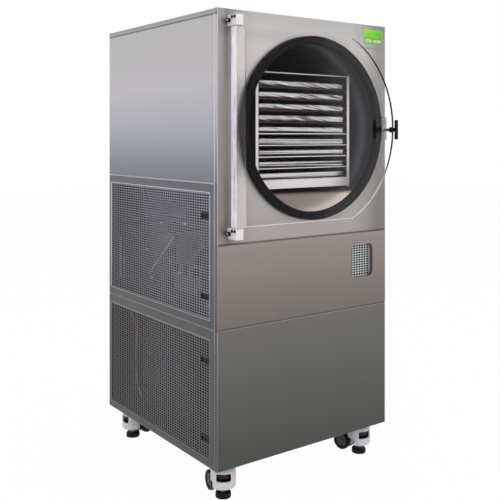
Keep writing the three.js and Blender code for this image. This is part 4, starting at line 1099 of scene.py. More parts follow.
def addDisplay():
    low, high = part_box("touchscreen")
    glass = roundBox(
        "touchscreen_body", (low.x, low.y + 0.4 * mm, low.z), high, 0.6 * mm, "glossBlack")
    inset = display["border"]
    left, right = low.x + inset, high.x - inset
    bottom, top = low.z + inset, high.z - inset
    face = low.y

    def flat(name, start, end, radius, depth, tone):
        outline = roundedOutline((left + start[0], bottom + start[1]), (left + end[0], bottom + end[1]), radius)
        return plate(name, outline, "y", face - depth, face + 0.6 * mm, tone, 0.15 * mm, 1)

    green = screenPaint("screenGreen", left, right, bottom, top)
    lightPaint = moulded("buttonPaint", display["buttonColour"], 0.3, 900, 0.00001, 0.03)
    darkPaint = moulded("markPaint", display["darkMark"], 0.3, 900, 0.00001, 0.03)
    palePaint = moulded("palePaint", display["paleGreen"], 0.3, 900, 0.00001, 0.03)
    wide, tall = right - left, top - bottom
    parts = [glass, flat("screen", (0, 0), (wide, tall), display["cornerRadius"], 0, green)]
    buttons = [(0.08, 0.42), (0.50, 0.92)]
    for start, end in buttons:
        parts.append(flat(
            "button", (wide * start, tall * 0.10), (wide * end, tall * 0.30), 3 * mm, 0.25 * mm, lightPaint))
        for mark in range(4):
            at = wide * (start + (end - start) * (0.2 + 0.2 * mark))
            parts.append(flat(
                "mark", (at - 1.4 * mm, tall * 0.165), (at + 1.4 * mm, tall * 0.235), 0.4 * mm, 0.4 * mm,
                darkPaint))
    for step in range(9):
        height = tall * (0.10 + 0.16 * (1 - abs(step - 3) / 7))
        at = wide * (0.30 + 0.06 * step)
        parts.append(flat(
            "bar", (at - 1.1 * mm, tall * 0.42), (at + 1.1 * mm, tall * 0.42 + height), 0.5 * mm, 0.2 * mm,
            palePaint))
    dial = lathe(
        "dial", [(6.2 * mm, 0), (7.4 * mm, 0), (7.4 * mm, 0.25 * mm), (6.2 * mm, 0.25 * mm)], palePaint,
        "y", (left + wide * 0.15, face - 0.25 * mm, bottom + tall * 0.62), 32, closed=True)
    parts.append(dial)
    screen = joined("touchscreen_face", parts)
    finish(screen, "cabinet", "screen_green", "touchscreen")


def screenPaint(name, left, right, bottom, top):
    # the lit green is palest at the top left
    material, shader, place = newMaterial(name, Roughness=0.22, Emission_Strength=0.35)
    across = (place.node("ShaderNodeSeparateXYZ", None, {0: place}, 0) - left) / (right - left)
    up = (place.node("ShaderNodeSeparateXYZ", None, {0: place}, 2) - bottom) / (top - bottom)
    light = up * 0.65 - across * 0.55 + 0.35
    tone = light.node("ShaderNodeValToRGB", {"stops": [
        (0.0, 70, 146, 0), (0.5, 94, 180, 4), (1.0, 142, 206, 60)]}, {0: light})
    feed(shader, "Base Color", tone)
    feed(shader, "Emission Color", tone)
    return material


# Chamber, gasket, rack and trays

chamber = {
    "wall": 4 * mm,
    "gasketWidth": 27 * mm,
    "gasketRound": 6 * mm,
    "paleBelow": 218 * mm,      # from the axis down to the painted pool of light on the bed
}
rack = {
    "sheet": 3 * mm,
    "post": 12 * mm,
    "apron": 27 * mm,
    "setback": 5 * mm,
    "mat": 2.2 * mm,
}
dryingTray = {"wall": 1.2 * mm, "corner": 10 * mm, "lip": 1.6 * mm}


def addChamber():
    low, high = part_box("vacuum_chamber")
    outer = (high.x - low.x) / 2
    inner = outer - chamber["wall"]
    front, back = low.y, high.y
    floorY = back - chamber["wall"]
    profile = [
        (0, floorY - 6 * mm), (inner * 0.5, floorY - 5 * mm), (inner * 0.86, floorY - 2 * mm),
        (inner - 12 * mm, floorY), (inner - 3.5 * mm, floorY - 3.5 * mm), (inner, floorY - 12 * mm),
        (inner, front + 1 * mm), (inner + 1 * mm, front), (outer - 1 * mm, front), (outer, front + 1 * mm),
        (outer, back), (0, back)]
    shell = lathe("vacuum_chamber_shell", profile, "chamberSteel", "y", chamberAxis, 160)
    port = lathe(
        "port", [(0, floorY - 6 * mm), (22 * mm, floorY - 6 * mm), (24 * mm, floorY - 9 * mm),
                 (24 * mm, floorY - 16 * mm), (18 * mm, floorY - 18 * mm), (0, floorY - 18 * mm)],
        "zincPlate", "y", chamberAxis + Vector((0.12, 0, 0.205)), 48)
    whole = joined("vacuum_chamber_lined", [shell, port])
    finish(whole, "cabinet", "chamber_steel", "vacuum_chamber", angle=50)

    low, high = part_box("door_gasket")
    outer = (high.x - low.x) / 2
    inner = outer - chamber["gasketWidth"]
    radius = chamber["gasketRound"]
    front, back = low.y, high.y
    rimLow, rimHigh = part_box("vacuum_chamber")
    rimOuter = (rimHigh.x - rimLow.x) / 2 + 0.3 * mm
    rimInner = rimOuter - chamber["wall"] - 0.6 * mm
    steps = [math.radians(angle) for angle in (0, 22.5, 45, 67.5, 90)]
    profile = [(inner, back)]
    profile += [(inner + radius - radius * math.cos(a), front + radius - radius * math.sin(a)) for a in steps]
    profile += [(inner + 11 * mm, front), (inner + 12 * mm, front + 1 * mm),
                (inner + 14 * mm, front + 1 * mm), (inner + 15 * mm, front)]
    profile += [
        (outer - radius + radius * math.sin(a), front + radius - radius * math.cos(a)) for a in steps]
    profile += [(outer, back), (rimOuter, back), (rimOuter, rimLow.y - 0.3 * mm),
                (rimInner, rimLow.y - 0.3 * mm), (rimInner, back)]
    ring = lathe("door_gasket_ring", profile, "gasketBlack", "y", chamberAxis, 192, closed=True)
    finish(ring, "cabinet", "gasket_rubber", "door_gasket", angle=50)
    print("chamber and gasket turned")


def addRack():
    low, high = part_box("tray_rack")
    sheet, post = rack["sheet"], rack["post"]
    frontY, backY = low.y, high.y
    silver = "rackSilver"
    parts = []
    for x, inward in ((low.x, 1), (high.x, -1)):
        plateX = sorted((x, x + inward * sheet))
        postX = sorted((x, x + inward * post))
        parts.append(roundBox("side", (plateX[0], frontY + 1 * mm, low.z), (plateX[1], backY, high.z),
                              0.5 * mm, silver, 1))
        parts.append(roundBox("post", (postX[0], frontY, low.z), (postX[1], frontY + sheet, high.z),
                              1.1 * mm, silver))
        parts.append(roundBox("post", (postX[0], backY - sheet, low.z), (postX[1], backY, high.z),
                              1.1 * mm, silver))
    tops = [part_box(f"tray_{index}")[0].z - 0.3 * mm for index in range(1, 10)] + [high.z]
    mats = []
    for index, top in enumerate(tops):
        shelfX = (low.x + sheet, high.x - sheet)
        shelfStart = frontY + rack["setback"]
        parts.append(roundBox("shelf", (shelfX[0], shelfStart, top - sheet), (shelfX[1], backY, top),
                              0.4 * mm, silver, 1))
        parts.append(pipe(
            "hem", [(shelfX[0], shelfStart + 1.2 * mm, top - sheet / 2),
                    (shelfX[1], shelfStart + 1.2 * mm, top - sheet / 2)],
            sheet / 2 + 0.1 * mm, silver, 12, smooth=False))
        if index:
            mats.append(roundBox(
                "mat", (shelfX[0] + 12 * mm, shelfStart + 6 * mm, top - sheet - rack["mat"]),
                (shelfX[1] - 12 * mm, backY - 20 * mm, top - sheet + 0.2 * mm), 0.8 * mm,
                "heaterMaroon", 2))
    apronTop = tops[0] - sheet
    parts.append(roundBox(
        "apron", (low.x + post - 1 * mm, frontY, apronTop - rack["apron"]),
        (high.x - post + 1 * mm, frontY + sheet, apronTop + 1 * mm), 0.8 * mm, silver))
    screws = onPoints(
        "screws",
        [(x, frontY + 14 * mm, top - 8 * mm) for x in (low.x + sheet, high.x - sheet) for top in tops[1:]],
        lathe("head", [(0, -2 * mm), (3.4 * mm, -2 * mm), (4 * mm, -1 * mm), (4 * mm, 0), (4 * mm, 1 * mm),
                       (3.4 * mm, 2 * mm), (0, 2 * mm)], "zincPlate", "x", (0, 0, 0), 12),
        "zincPlate")
    whole = joined("tray_rack_made", parts + [screws])
    # faces that do not look to the front, and the fronts of the upper shelves, take the rack's painted shade
    whole.data.materials.append(materials["rackShade"])
    for face in whole.data.polygons:
        between = abs(face.center.x - (low.x + high.x) / 2) < (high.x - low.x) / 2 - post
        upperShelf = between and tops[5] - 5 * mm < face.center.z < high.z - 10 * mm
        if face.material_index == 0 and (face.normal.y > -0.5 or upperShelf):
            face.material_index = len(whole.data.materials) - 1
    finish(whole, "cabinet", "rack_aluminium", "tray_rack")
    pads = joined("heater_mats", mats)
    finish(pads, "cabinet", "gasket_rubber")
    leads = []
    for top in tops[1:]:
        x = high.x - 30 * mm
        z = top - sheet - rack["mat"] / 2
        leads.append(pipe("lead", [
            (x, backY - 24 * mm, z), (x + 4 * mm, backY - 6 * mm, z - 2 * mm),
            (x + 2 * mm, backY + 8 * mm, z - 8 * mm), (x - 10 * mm, backY + 12 * mm, z - 20 * mm),
            (x - 26 * mm, backY + 16 * mm, low.z + 220 * mm)], 1.3 * mm, "wireRed", 8))
    wires = joined("heater_leads", leads)
    finish(wires, "cabinet", "gasket_rubber", angle=60)


def addTrays():
    for index in range(1, 10):
        node = f"tray_{index}"
        low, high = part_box(node)
        wall, corner, lip = dryingTray["wall"], dryingTray["corner"], dryingTray["lip"]

        def ring(inset, z, radius):
            outline = roundedOutline(
                (low.x + inset, low.y + inset), (high.x - inset, high.y - inset), radius, 5)
            return [(x, y, z) for x, y in outline]

        sections = [
            ring(lip + 3 * mm, low.z, corner - 3 * mm), ring(lip + 0.8 * mm, low.z + 0.8 * mm, corner - 1 * mm),
            ring(lip, low.z + 3 * mm, corner), ring(lip, high.z - 2.2 * mm, corner),
            ring(0.5 * mm, high.z - 1.8 * mm, corner), ring(0, high.z - 1 * mm, corner),
            ring(0.4 * mm, high.z - 0.2 * mm, corner), ring(1.2 * mm, high.z, corner - 1 * mm),
            ring(lip + wall - 0.2 * mm, high.z - 0.4 * mm, corner - 1.4 * mm),
            ring(lip + wall, high.z - 1.6 * mm, corner - 1.5 * mm),
            ring(lip + wall, low.z + 3.5 * mm, corner - 1.5 * mm),
            ring(lip + wall + 0.7 * mm, low.z + 1.8 * mm, corner - 2 * mm),
            ring(lip + wall + 2.5 * mm, low.z + wall, corner - 4 * mm)]
        piece = loft(node + "_pressed", sections, "trayPolish")
        finish(piece, "cabinet", "polished_tray", node, angle=60)
    print("rack and trays made")


# Door

door = {
    "rim": 3.2 * mm,
    "arcSteps": 96,
    "leftCorner": 3 * mm,
}
handle = {"barWidth": 11 * mm, "barDepth": 9 * mm, "neck": 10 * mm}


def doorOutline():
    radius = doorHigh.x - chamberAxis.x
    halfHeight = (doorHigh.z - doorLow.z) / 2
    corner = math.asin(halfHeight / radius)
    points = []
    for step in range(door["arcSteps"] + 1):
        angle = -corner + 2 * corner * step / door["arcSteps"]
        points.append((chamberAxis.x + radius * math.cos(angle), chamberAxis.z + radius * math.sin(angle)))
    small = door["leftCorner"]
    for centreZ, start in ((doorHigh.z - small, 90), (doorLow.z + small, 180)):
        for step in range(5):
            angle = math.radians(start + 90 * step / 4)
            points.append((doorLow.x + small + small * math.cos(angle), centreZ + small * math.sin(angle)))
    return points


def frosted(piece):
    # the left edge of the acrylic takes the milky finish, and the other edges show as a thin line
    piece.data.materials.append(materials["acrylicEdge"])
    piece.data.materials.append(materials["acrylicRim"])
    for face in piece.data.polygons:
        if face.normal.x < -0.7:
            face.material_index = 1
        elif abs(face.normal.y) < 0.985:
            face.material_index = 2


def addDoor():
    clear = plate(
        "door_plate_clear", doorOutline(), "y", doorLow.y, doorHigh.y, "clearAcrylic",
        door["rim"], 3)
    frosted(clear)
    finish(clear, "door", "clear_acrylic", "door_plate", angle=30)
    low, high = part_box("door_hinge_strip")
    strip = roundBox("door_hinge_strip_clear", low, high, 0.8 * mm, "stripAcrylic")
    frosted(strip)
    finish(strip, "door", "clear_acrylic", "door_hinge_strip", angle=30)


def socketScrew(name, radius, axis, sign, material):
    # a button-headed screw on the plane through the origin, its head towards sign
    height = radius * 0.55
    profile = [
        (0, height * 0.45), (radius * 0.42, height * 0.45), (radius * 0.42, height),
        (radius * 0.62, height * 0.96), (radius * 0.9, height * 0.55), (radius, height * 0.1), (radius, 0),
        (0, 0)]
    return lathe(name, [(r, sign * along) for r, along in profile], material, axis, (0, 0, 0), 12)


def addHinges():
    hingeX, hingeY = jointNamed("door_hinge")["pos_m"][:2]
    for node, side in (("hinge_block_top", 1), ("hinge_block_bottom", -1)):
        low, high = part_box(node)
        edgeZ = doorHigh.z if side > 0 else doorLow.z
        ends = sorted((edgeZ + side * 3 * mm, edgeZ + side * 36 * mm))
        blockLeft = hingeX - 13 * mm
        body = roundBox(
            "block", (blockLeft, low.y, ends[0]), (blockLeft + 26 * mm, high.y, ends[1]), 1.6 * mm,
            "hingeSilver")
        collarZ = [edgeZ + side * 0.3 * mm, edgeZ + side * 4 * mm]
        collar = lathe("collar", [(0, collarZ[0]), (8.4 * mm, collarZ[0]), (9 * mm, collarZ[0] + side * 0.6 * mm),
                                  (9 * mm, collarZ[1]), (0, collarZ[1])],
                       "zincPlate", "z", (hingeX, hingeY, 0), 40)
        pinZ = [edgeZ - side * 17 * mm, edgeZ + side * 4 * mm]
        pin = lathe("pin", [(0, pinZ[0]), (4.2 * mm, pinZ[0]), (5 * mm, pinZ[0] + side * 0.8 * mm),
                            (5 * mm, pinZ[1]), (0, pinZ[1])],
                    "zincPlate", "z", (hingeX, hingeY, 0), 32)
        boltZ = edgeZ + side * 19.5 * mm
        boltY = high.y - 12.7 * mm
        boltEnd = low.x + 1 * mm
        tip = lathe("tip", [(0, low.x), (2.6 * mm, low.x), (3.2 * mm, boltEnd), (0, boltEnd)],
                    "zincPlate", "x", (0, boltY, boltZ), 24)
        bolt = lathe("bolt", [(0, boltEnd), (6 * mm, boltEnd), (7 * mm, boltEnd + 1 * mm),
                              (7 * mm, blockLeft + 0.5 * mm), (0, blockLeft + 0.5 * mm)],
                     "glossBlack", "x", (0, boltY, boltZ), 32)
        screws = onPoints(
            "screws",
            [(blockLeft, low.y + along, ends[1] - 7 * mm) for along in (10 * mm, 24 * mm)],
            socketScrew("screw", 5.5 * mm, "x", -1, "glossBlack"), "glossBlack")
        block = joined(node + "_made", [body, collar, pin, tip, bolt, screws])
        finish(block, "cabinet", "hinge_aluminium", node)


def addHandle():
    low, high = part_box("door_handle")
    centre = Vector(jointNamed("handle_turn")["pos_m"])
    centre.y = 0
    halfBar = handle["barWidth"] / 2
    halfLength = (high.z - low.z) / 2
    barBack = low.y + handle["barDepth"]
    outline = roundedOutline(
        (centre.x - halfBar, centre.z - halfLength), (centre.x + halfBar, centre.z + halfLength), 3 * mm, 6)
    bar = plate("bar", outline, "y", low.y, barBack, "blackPlastic", 1.8 * mm, 4)
    neckEnd = doorLow.y - 0.3 * mm
    neck = lathe(
        "neck", [(0, barBack - 1 * mm), (6.5 * mm, barBack - 1 * mm), (6.5 * mm, barBack + 6 * mm),
                 (handle["neck"] * 0.8, barBack + 10 * mm), (handle["neck"] * 0.8, neckEnd - 8 * mm),
                 (handle["neck"], neckEnd - 7 * mm), (handle["neck"], neckEnd - 0.8 * mm),
                 (handle["neck"] - 0.8 * mm, neckEnd), (0, neckEnd)],
        "glossBlack", "y", centre, 48)
    shaft = lathe("shaft", [(0, neckEnd - 1 * mm), (5 * mm, neckEnd - 1 * mm), (5 * mm, high.y), (0, high.y)],
                  "zincPlate", "y", centre, 32)
    whole = joined("door_handle_made", [bar, neck, shaft])
    finish(whole, "door_latch", "black_plastic", "door_handle")
    finishedNode("latch_cam", "door_latch", "chamber_steel", "zincPlate")
    finishedNode("strike_bracket", "cabinet", "stainless_panel", "frontSteel",
                 "foldSteel", 0.5 * mm)
    print("door made")


# Casters: built once about their own turning axis, then copied to each corner

caster = {
    "bodyRadius": 40 * mm,
    "bodyBottom": 34 * mm,
    "bodyTop": 103.7 * mm,
    "cavity": (34 * mm, 58 * mm, 86 * mm),      # radius, bottom and top
    "window": (23 * mm, 59 * mm, 84 * mm),      # half width, bottom and top
    "windowTurn": -20,                          # degrees about the turning axis
    "cheek": (-8 * mm, 56 * mm),                # the sides are open behind this line and below this height
    "wheel": (31 * mm, 8 * mm, 28 * mm),        # radius, inner and outer faces
    "axle": (60 * mm, 31.5 * mm),               # behind the turning axis, and above the floor
    "arm": 6.5 * mm,
    "thumb": (32 * mm, 66 * mm, 80 * mm),
    "pad": (25 * mm, 18 * mm),
    "stemTop": 81 * mm,
}


def casterMatrix(corner):
    centre = middleOf(f"{corner}_foot")
    axis = jointNamed(f"{corner}_wheel_roll")["axis"]
    turn = Matrix.Rotation(math.atan2(axis[1], axis[0]), 4, "Z")
    return Matrix.Translation((centre.x, centre.y, 0)) @ turn


def cutBy(piece, tools):
    for tool in tools:
        modifier = piece.modifiers.new("cut", "BOOLEAN")
        modifier.operation = "DIFFERENCE"
        modifier.solver = "EXACT"
        modifier.object = tool
    settled(piece)
    for tool in tools:
        bpy.data.objects.remove(tool)
    return piece


def casterBody():
    white = "casterWhite"
    radius, bottom, top = caster["bodyRadius"], caster["bodyBottom"], caster["bodyTop"]
    shell = lathe("shell", [
        (0, bottom), (radius - 5 * mm, bottom), (radius - 2 * mm, bottom + 1 * mm),
        (radius - 0.5 * mm, bottom + 3.5 * mm), (radius, bottom + 8 * mm), (radius, top - 24 * mm),
        (radius - 0.6 * mm, top - 17 * mm), (radius - 2.4 * mm, top - 11 * mm),
        (radius - 5.6 * mm, top - 6 * mm), (radius - 10 * mm, top - 2.4 * mm),
        (radius - 15 * mm, top - 0.5 * mm), (radius - 18 * mm, top), (0, top)], white, "z", (0, 0, 0), 96)
    axleY, axleZ = caster["axle"]
    halfArm = caster["arm"]
    hood = roundBox("hood", (-20 * mm, 12 * mm, 66 * mm), (20 * mm, axleY, 90 * mm), 7 * mm, white, 5)
    cavityRadius, cavityBottom, cavityTop = caster["cavity"]
    halfWindow, windowBottom, windowTop = caster["window"]
    cavityProfile = [(0, cavityBottom), (cavityRadius, cavityBottom), (cavityRadius, cavityTop), (0, cavityTop)]
    cutBy(hood, [lathe("cavity", cavityProfile, white, "z", (0, 0, 0), 64)])
    cavity = lathe("cavity", cavityProfile, white, "z", (0, 0, 0), 64)
    opening = plate(
        "opening", roundedOutline((-halfWindow, windowBottom), (halfWindow, windowTop), 5 * mm, 6), "y",
        -radius - 5 * mm, -5 * mm, white)
    moved(opening, Matrix.Rotation(math.radians(caster["windowTurn"]), 4, "Z"))
    wheelRadius = caster["wheel"][0] + 2 * mm
    bays = [
        lathe("bay", [(0, side * halfArm), (wheelRadius, side * halfArm),
                      (wheelRadius, side * (radius + 2 * mm)), (0, side * (radius + 2 * mm))],
              white, "x", (0, axleY, axleZ), 64)
        for side in (-1, 1)]
    cheekStart, cheekTop = caster["cheek"]
    bays += [
        roundBox("cheek", (min(side * halfArm, side * 50 * mm), cheekStart, bottom - 9 * mm),
                 (max(side * halfArm, side * 50 * mm), 60 * mm, cheekTop), 5 * mm, white, 3)
        for side in (-1, 1)]
    stemHole = lathe("stemHole", [(0, bottom - 1 * mm), (6.6 * mm, bottom - 1 * mm),
                                  (6.6 * mm, 93 * mm), (0, 93 * mm)], white, "z", (0, 0, 0), 32)
    cutBy(shell, [cavity, opening, stemHole] + bays)
    shell.data.materials.append(materials["wheelBlack"])
    for face in shell.data.polygons:
        middle = face.center
        if middle.xy.length < cavityRadius + 0.5 * mm and cavityBottom - 1 * mm < middle.z < cavityTop + 1 * mm:
            face.material_index = len(shell.data.materials) - 1
    armOutline = [(26.5 * mm, 80 * mm), (26.5 * mm, 22 * mm), (30 * mm, axleZ - 14 * mm)]
    armOutline += [
        (axleY + 14 * mm * math.cos(math.radians(a)), axleZ + 14 * mm * math.sin(math.radians(a)))
        for a in range(-90, 1, 15)]
    armOutline += [(axleY, 80 * mm)]
    arm = plate("arm", armOutline, "x", -halfArm, halfArm, white, 1.2 * mm, 2)
    cap = lathe("cap", [(0, top - 0.5 * mm), (21 * mm, top - 0.5 * mm), (21 * mm, top + 0.2 * mm),
                        (19 * mm, top + 0.3 * mm), (0, top + 0.3 * mm)], "zincPlate", "z",
                (0, 0, 0), 48)
    return settled(smoothed(joined("casterBody", [shell, hood, arm, cap]), 38))


def casterWheelset():
    radius, start, end = caster["wheel"]
    axleY, axleZ = caster["axle"]
    parts = []
    for side in (-1, 1):
        tread = [
            (radius - 10 * mm, start + 0.6 * mm), (radius - 2.5 * mm, start), (radius - 0.8 * mm, start + 1.2 * mm),
            (radius, start + 3.6 * mm), (radius, end - 4.5 * mm), (radius - 0.6 * mm, end - 2 * mm),
            (radius - 2 * mm, end - 0.5 * mm), (radius - 4 * mm, end), (radius - 8 * mm, end - 0.3 * mm),
            (radius - 9.3 * mm, end - 1.2 * mm), (radius - 10 * mm, end - 3 * mm)]
        tyre = lathe("tyre", [(r, side * x) for r, x in tread], "wheelBlack", "x",
                     (0, axleY, axleZ), 64, closed=True)
        disc = [
            (0, start + 0.8 * mm), (radius - 9.6 * mm, start + 0.8 * mm), (radius - 9.6 * mm, end - 3.2 * mm),
            (radius - 12 * mm, end - 3 * mm), (radius - 13.5 * mm, end - 5 * mm), (10 * mm, end - 5.4 * mm),
            (8.6 * mm, end - 3 * mm), (7.4 * mm, end - 1.2 * mm), (0, end - 0.8 * mm)]
        hub = lathe("hub", [(r, side * x) for r, x in disc], "wheelHub", "x",
                    (0, axleY, axleZ), 48)
        spoke = roundBox("spoke", (side * (end - 6 * mm) - 1.6 * mm, -1.4 * mm, 8 * mm),
                         (side * (end - 6 * mm) + 1.6 * mm, 1.4 * mm, radius - 12 * mm), 0.6 * mm,
                         "wheelHub", 2)
        spokes = allRound("spokes", spoke, 8, "wheelHub", "x", (0, axleY, axleZ))
        parts += [tyre, hub, spokes]
    axle = lathe("axle", [(0, -start - 1 * mm), (4 * mm, -start - 1 * mm), (4 * mm, start + 1 * mm),
                          (0, start + 1 * mm)], "zincPlate", "x", (0, axleY, axleZ), 24)
    return settled(smoothed(joined("casterWheels", parts + [axle]), 38))


def casterThumbwheel():
    radius, bottom, top = caster["thumb"]
    outline = []
    for step in range(160):
        angle = 2 * math.pi * step / 160
        wave = max(0, math.cos(10 * angle)) ** 2
        reach = radius - 1.7 * mm * wave
        outline.append((reach * math.cos(angle), reach * math.sin(angle)))
    disc = plate("disc", outline, "z", bottom, top, "thumbRed", 1.4 * mm, 3)
    collar = lathe("collar", [(5.9 * mm, bottom - 3 * mm), (11 * mm, bottom - 3 * mm), (12 * mm, bottom - 2 * mm),
                              (12 * mm, bottom + 1 * mm), (5.9 * mm, bottom + 1 * mm)],
                   "zincPlate", "z", (0, 0, 0), 32, closed=True)
    return settled(smoothed(joined("thumbwheel", [disc, collar]), 38))


def casterFoot():
    radius, height = caster["pad"]
    pad = lathe("pad", [
        (0, 0), (radius - 2 * mm, 0), (radius - 0.5 * mm, 0.6 * mm), (radius, 2 * mm),
        (radius, height * 0.7), (radius - 0.8 * mm, height * 0.82), (radius - 2.6 * mm, height * 0.93),
        (radius - 6 * mm, height - 0.3 * mm), (9 * mm, height), (0, height)],
        "wheelBlack", "z", (0, 0, 0), 64)
    profile = [(0, height - 1 * mm), (9 * mm, height - 1 * mm), (9 * mm, height + 3.5 * mm),
               (5.2 * mm, height + 4 * mm)]
    along = height + 4 * mm
    while along < caster["stemTop"] - 2 * mm:
        profile += [(5.2 * mm, along), (6 * mm, along + 0.75 * mm), (5.2 * mm, along + 1.5 * mm)]
        along += 1.5 * mm
    profile += [(5.2 * mm, caster["stemTop"]), (0, caster["stemTop"])]
    stem = lathe("stem", profile, "zincPlate", "z", (0, 0, 0), 24)
    return settled(smoothed(joined("foot", [pad, stem]), 30))


def addCasters():
    masters = [
        (casterBody(), "caster_body", "swivel", "caster_white"),
        (casterWheelset(), "caster_wheels", "wheelset", "wheel_black"),
        (casterThumbwheel(), "thumbwheel", "levelling_wheel", "thumbwheel_red"),
        (casterFoot(), "foot", "levelling_foot", "foot_rubber")]
    for corner in corners:
        matrix = casterMatrix(corner)
        for master, node, body, slotName in masters:
            piece = copied(master, f"{corner}_{node}_made", matrix)
            placed(piece, f"{corner}_{body}", slotName, f"{corner}_{node}")
    for master in masters:
        bpy.data.objects.remove(master[0])
    print("casters copied")


# Frame and machinery

def addFrame():
    finishedNode("frame", "cabinet", "painted_frame", "frameGrey", "frameGrey", 1.5 * mm)
    finishedNode("base_pan", "cabinet", "painted_frame", "frameGrey", "frameGrey", 1 * mm)
    points = []
    for corner in corners:
        centre = middleOf(f"{corner}_foot")
        points += [(centre.x + x, centre.y + y, 0.107) for x in (-28 * mm, 28 * mm) for y in (-28 * mm, 28 * mm)]
    bolts = onPoints("caster_bolts", points, socketScrew("bolt", 5 * mm, "z", -1, "zincPlate"),
                     "zincPlate")
    finish(bolts, "cabinet", "painted_frame", angle=40)


def addJacket():
    low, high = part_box("chamber_insulation")
    outer = (high.x - low.x) / 2
    rimLow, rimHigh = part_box("vacuum_chamber")
    inner = (rimHigh.x - rimLow.x) / 2 + 0.3 * mm
    chamberBack = rimHigh.y + 0.3 * mm
    lobe = 2.5 * mm
    profile = [(0, chamberBack), (inner, chamberBack), (inner, low.y)]
    profile += [(inner + (outer - inner) * share, low.y) for share in (0.3, 0.7)]
    profile += [(outer - lobe, low.y), (outer, low.y + 3 * mm)]
    bands = 9
    for band in range(bands):
        start = low.y + 6 * mm + (high.y - low.y - 24 * mm) * band / bands
        end = low.y + 6 * mm + (high.y - low.y - 24 * mm) * (band + 1) / bands
        profile += [(outer, start + 3 * mm), (outer, end - 3 * mm), (outer - lobe, end)]
    profile += [(outer - 1 * mm, high.y - 14 * mm), (outer - 6 * mm, high.y - 4 * mm),
                (outer - 16 * mm, high.y), (0, high.y)]
    jacket = lathe("chamber_insulation_wrapped", profile, "foam", "y", chamberAxis, 96)
    finish(jacket, "cabinet", "insulation_foam", "chamber_insulation", angle=40)


compressor = {"radius": 85 * mm, "plate": (15 * mm, 19 * mm), "foot": 10 * mm}


def addCompressor():
    low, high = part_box("compressor")
    centre = Vector(((low.x + high.x) / 2, high.y - compressor["radius"], 0))
    radius = compressor["radius"]
    seat, top = low.z + 18 * mm, high.z
    black = "machineBlack"
    seamZ = seat + (top - seat) * 0.52
    can = lathe("can", [
        (0, seat), (radius * 0.7, seat), (radius * 0.9, seat + 6 * mm), (radius * 0.96, seat + 20 * mm),
        (radius * 0.96, seamZ - 2 * mm), (radius, seamZ - 1 * mm), (radius, seamZ + 5 * mm),
        (radius * 0.96, seamZ + 6 * mm), (radius * 0.96, top - 50 * mm), (radius * 0.95, top - 30 * mm),
        (radius * 0.85, top - 14 * mm), (radius * 0.68, top - 4 * mm), (radius * 0.45, top), (0, top)],
        black, "z", centre, 72)
    startZ, endZ = (low.z + height for height in compressor["plate"])
    outline = roundedOutline((low.x, centre.y - 70 * mm), (high.x, centre.y + 70 * mm), 12 * mm)
    base = plate("base", outline, "z", startZ, endZ, black, 0.8 * mm, 2)
    mount = lathe("mount", [
        (0, 0), (10 * mm, 0), (10 * mm, 3 * mm), (8 * mm, 5 * mm), (10 * mm, 8 * mm), (10 * mm, 15 * mm),
        (5 * mm, 15 * mm), (5 * mm, 21 * mm), (0, 21 * mm)], "gasketBlack", "z", (0, 0, 0), 24)
    places = [(x, y, low.z) for x in (low.x + 14 * mm, high.x - 14 * mm)
              for y in (centre.y - 56 * mm, centre.y + 56 * mm)]
    mounts = onPoints("mounts", places, mount, "gasketBlack")
    terminal = roundBox(
        "terminal", (centre.x - 22 * mm, low.y, seat + 90 * mm),
        (centre.x + 22 * mm, centre.y - radius + 12 * mm, seat + 140 * mm), 4 * mm, "glossBlack")
    whole = joined("compressor_made", [can, base, mounts, terminal])
    finish(whole, "cabinet", "machine_black", "compressor", angle=38)


condenser = {
    "depth": 45 * mm, "finPitch": 4 * mm, "fin": 0.5 * mm, "rows": 9, "tube": 4.8 * mm,
    "fanRadius": 145 * mm, "hub": (26 * mm, 22 * mm), "motor": (38 * mm, 60 * mm),
}


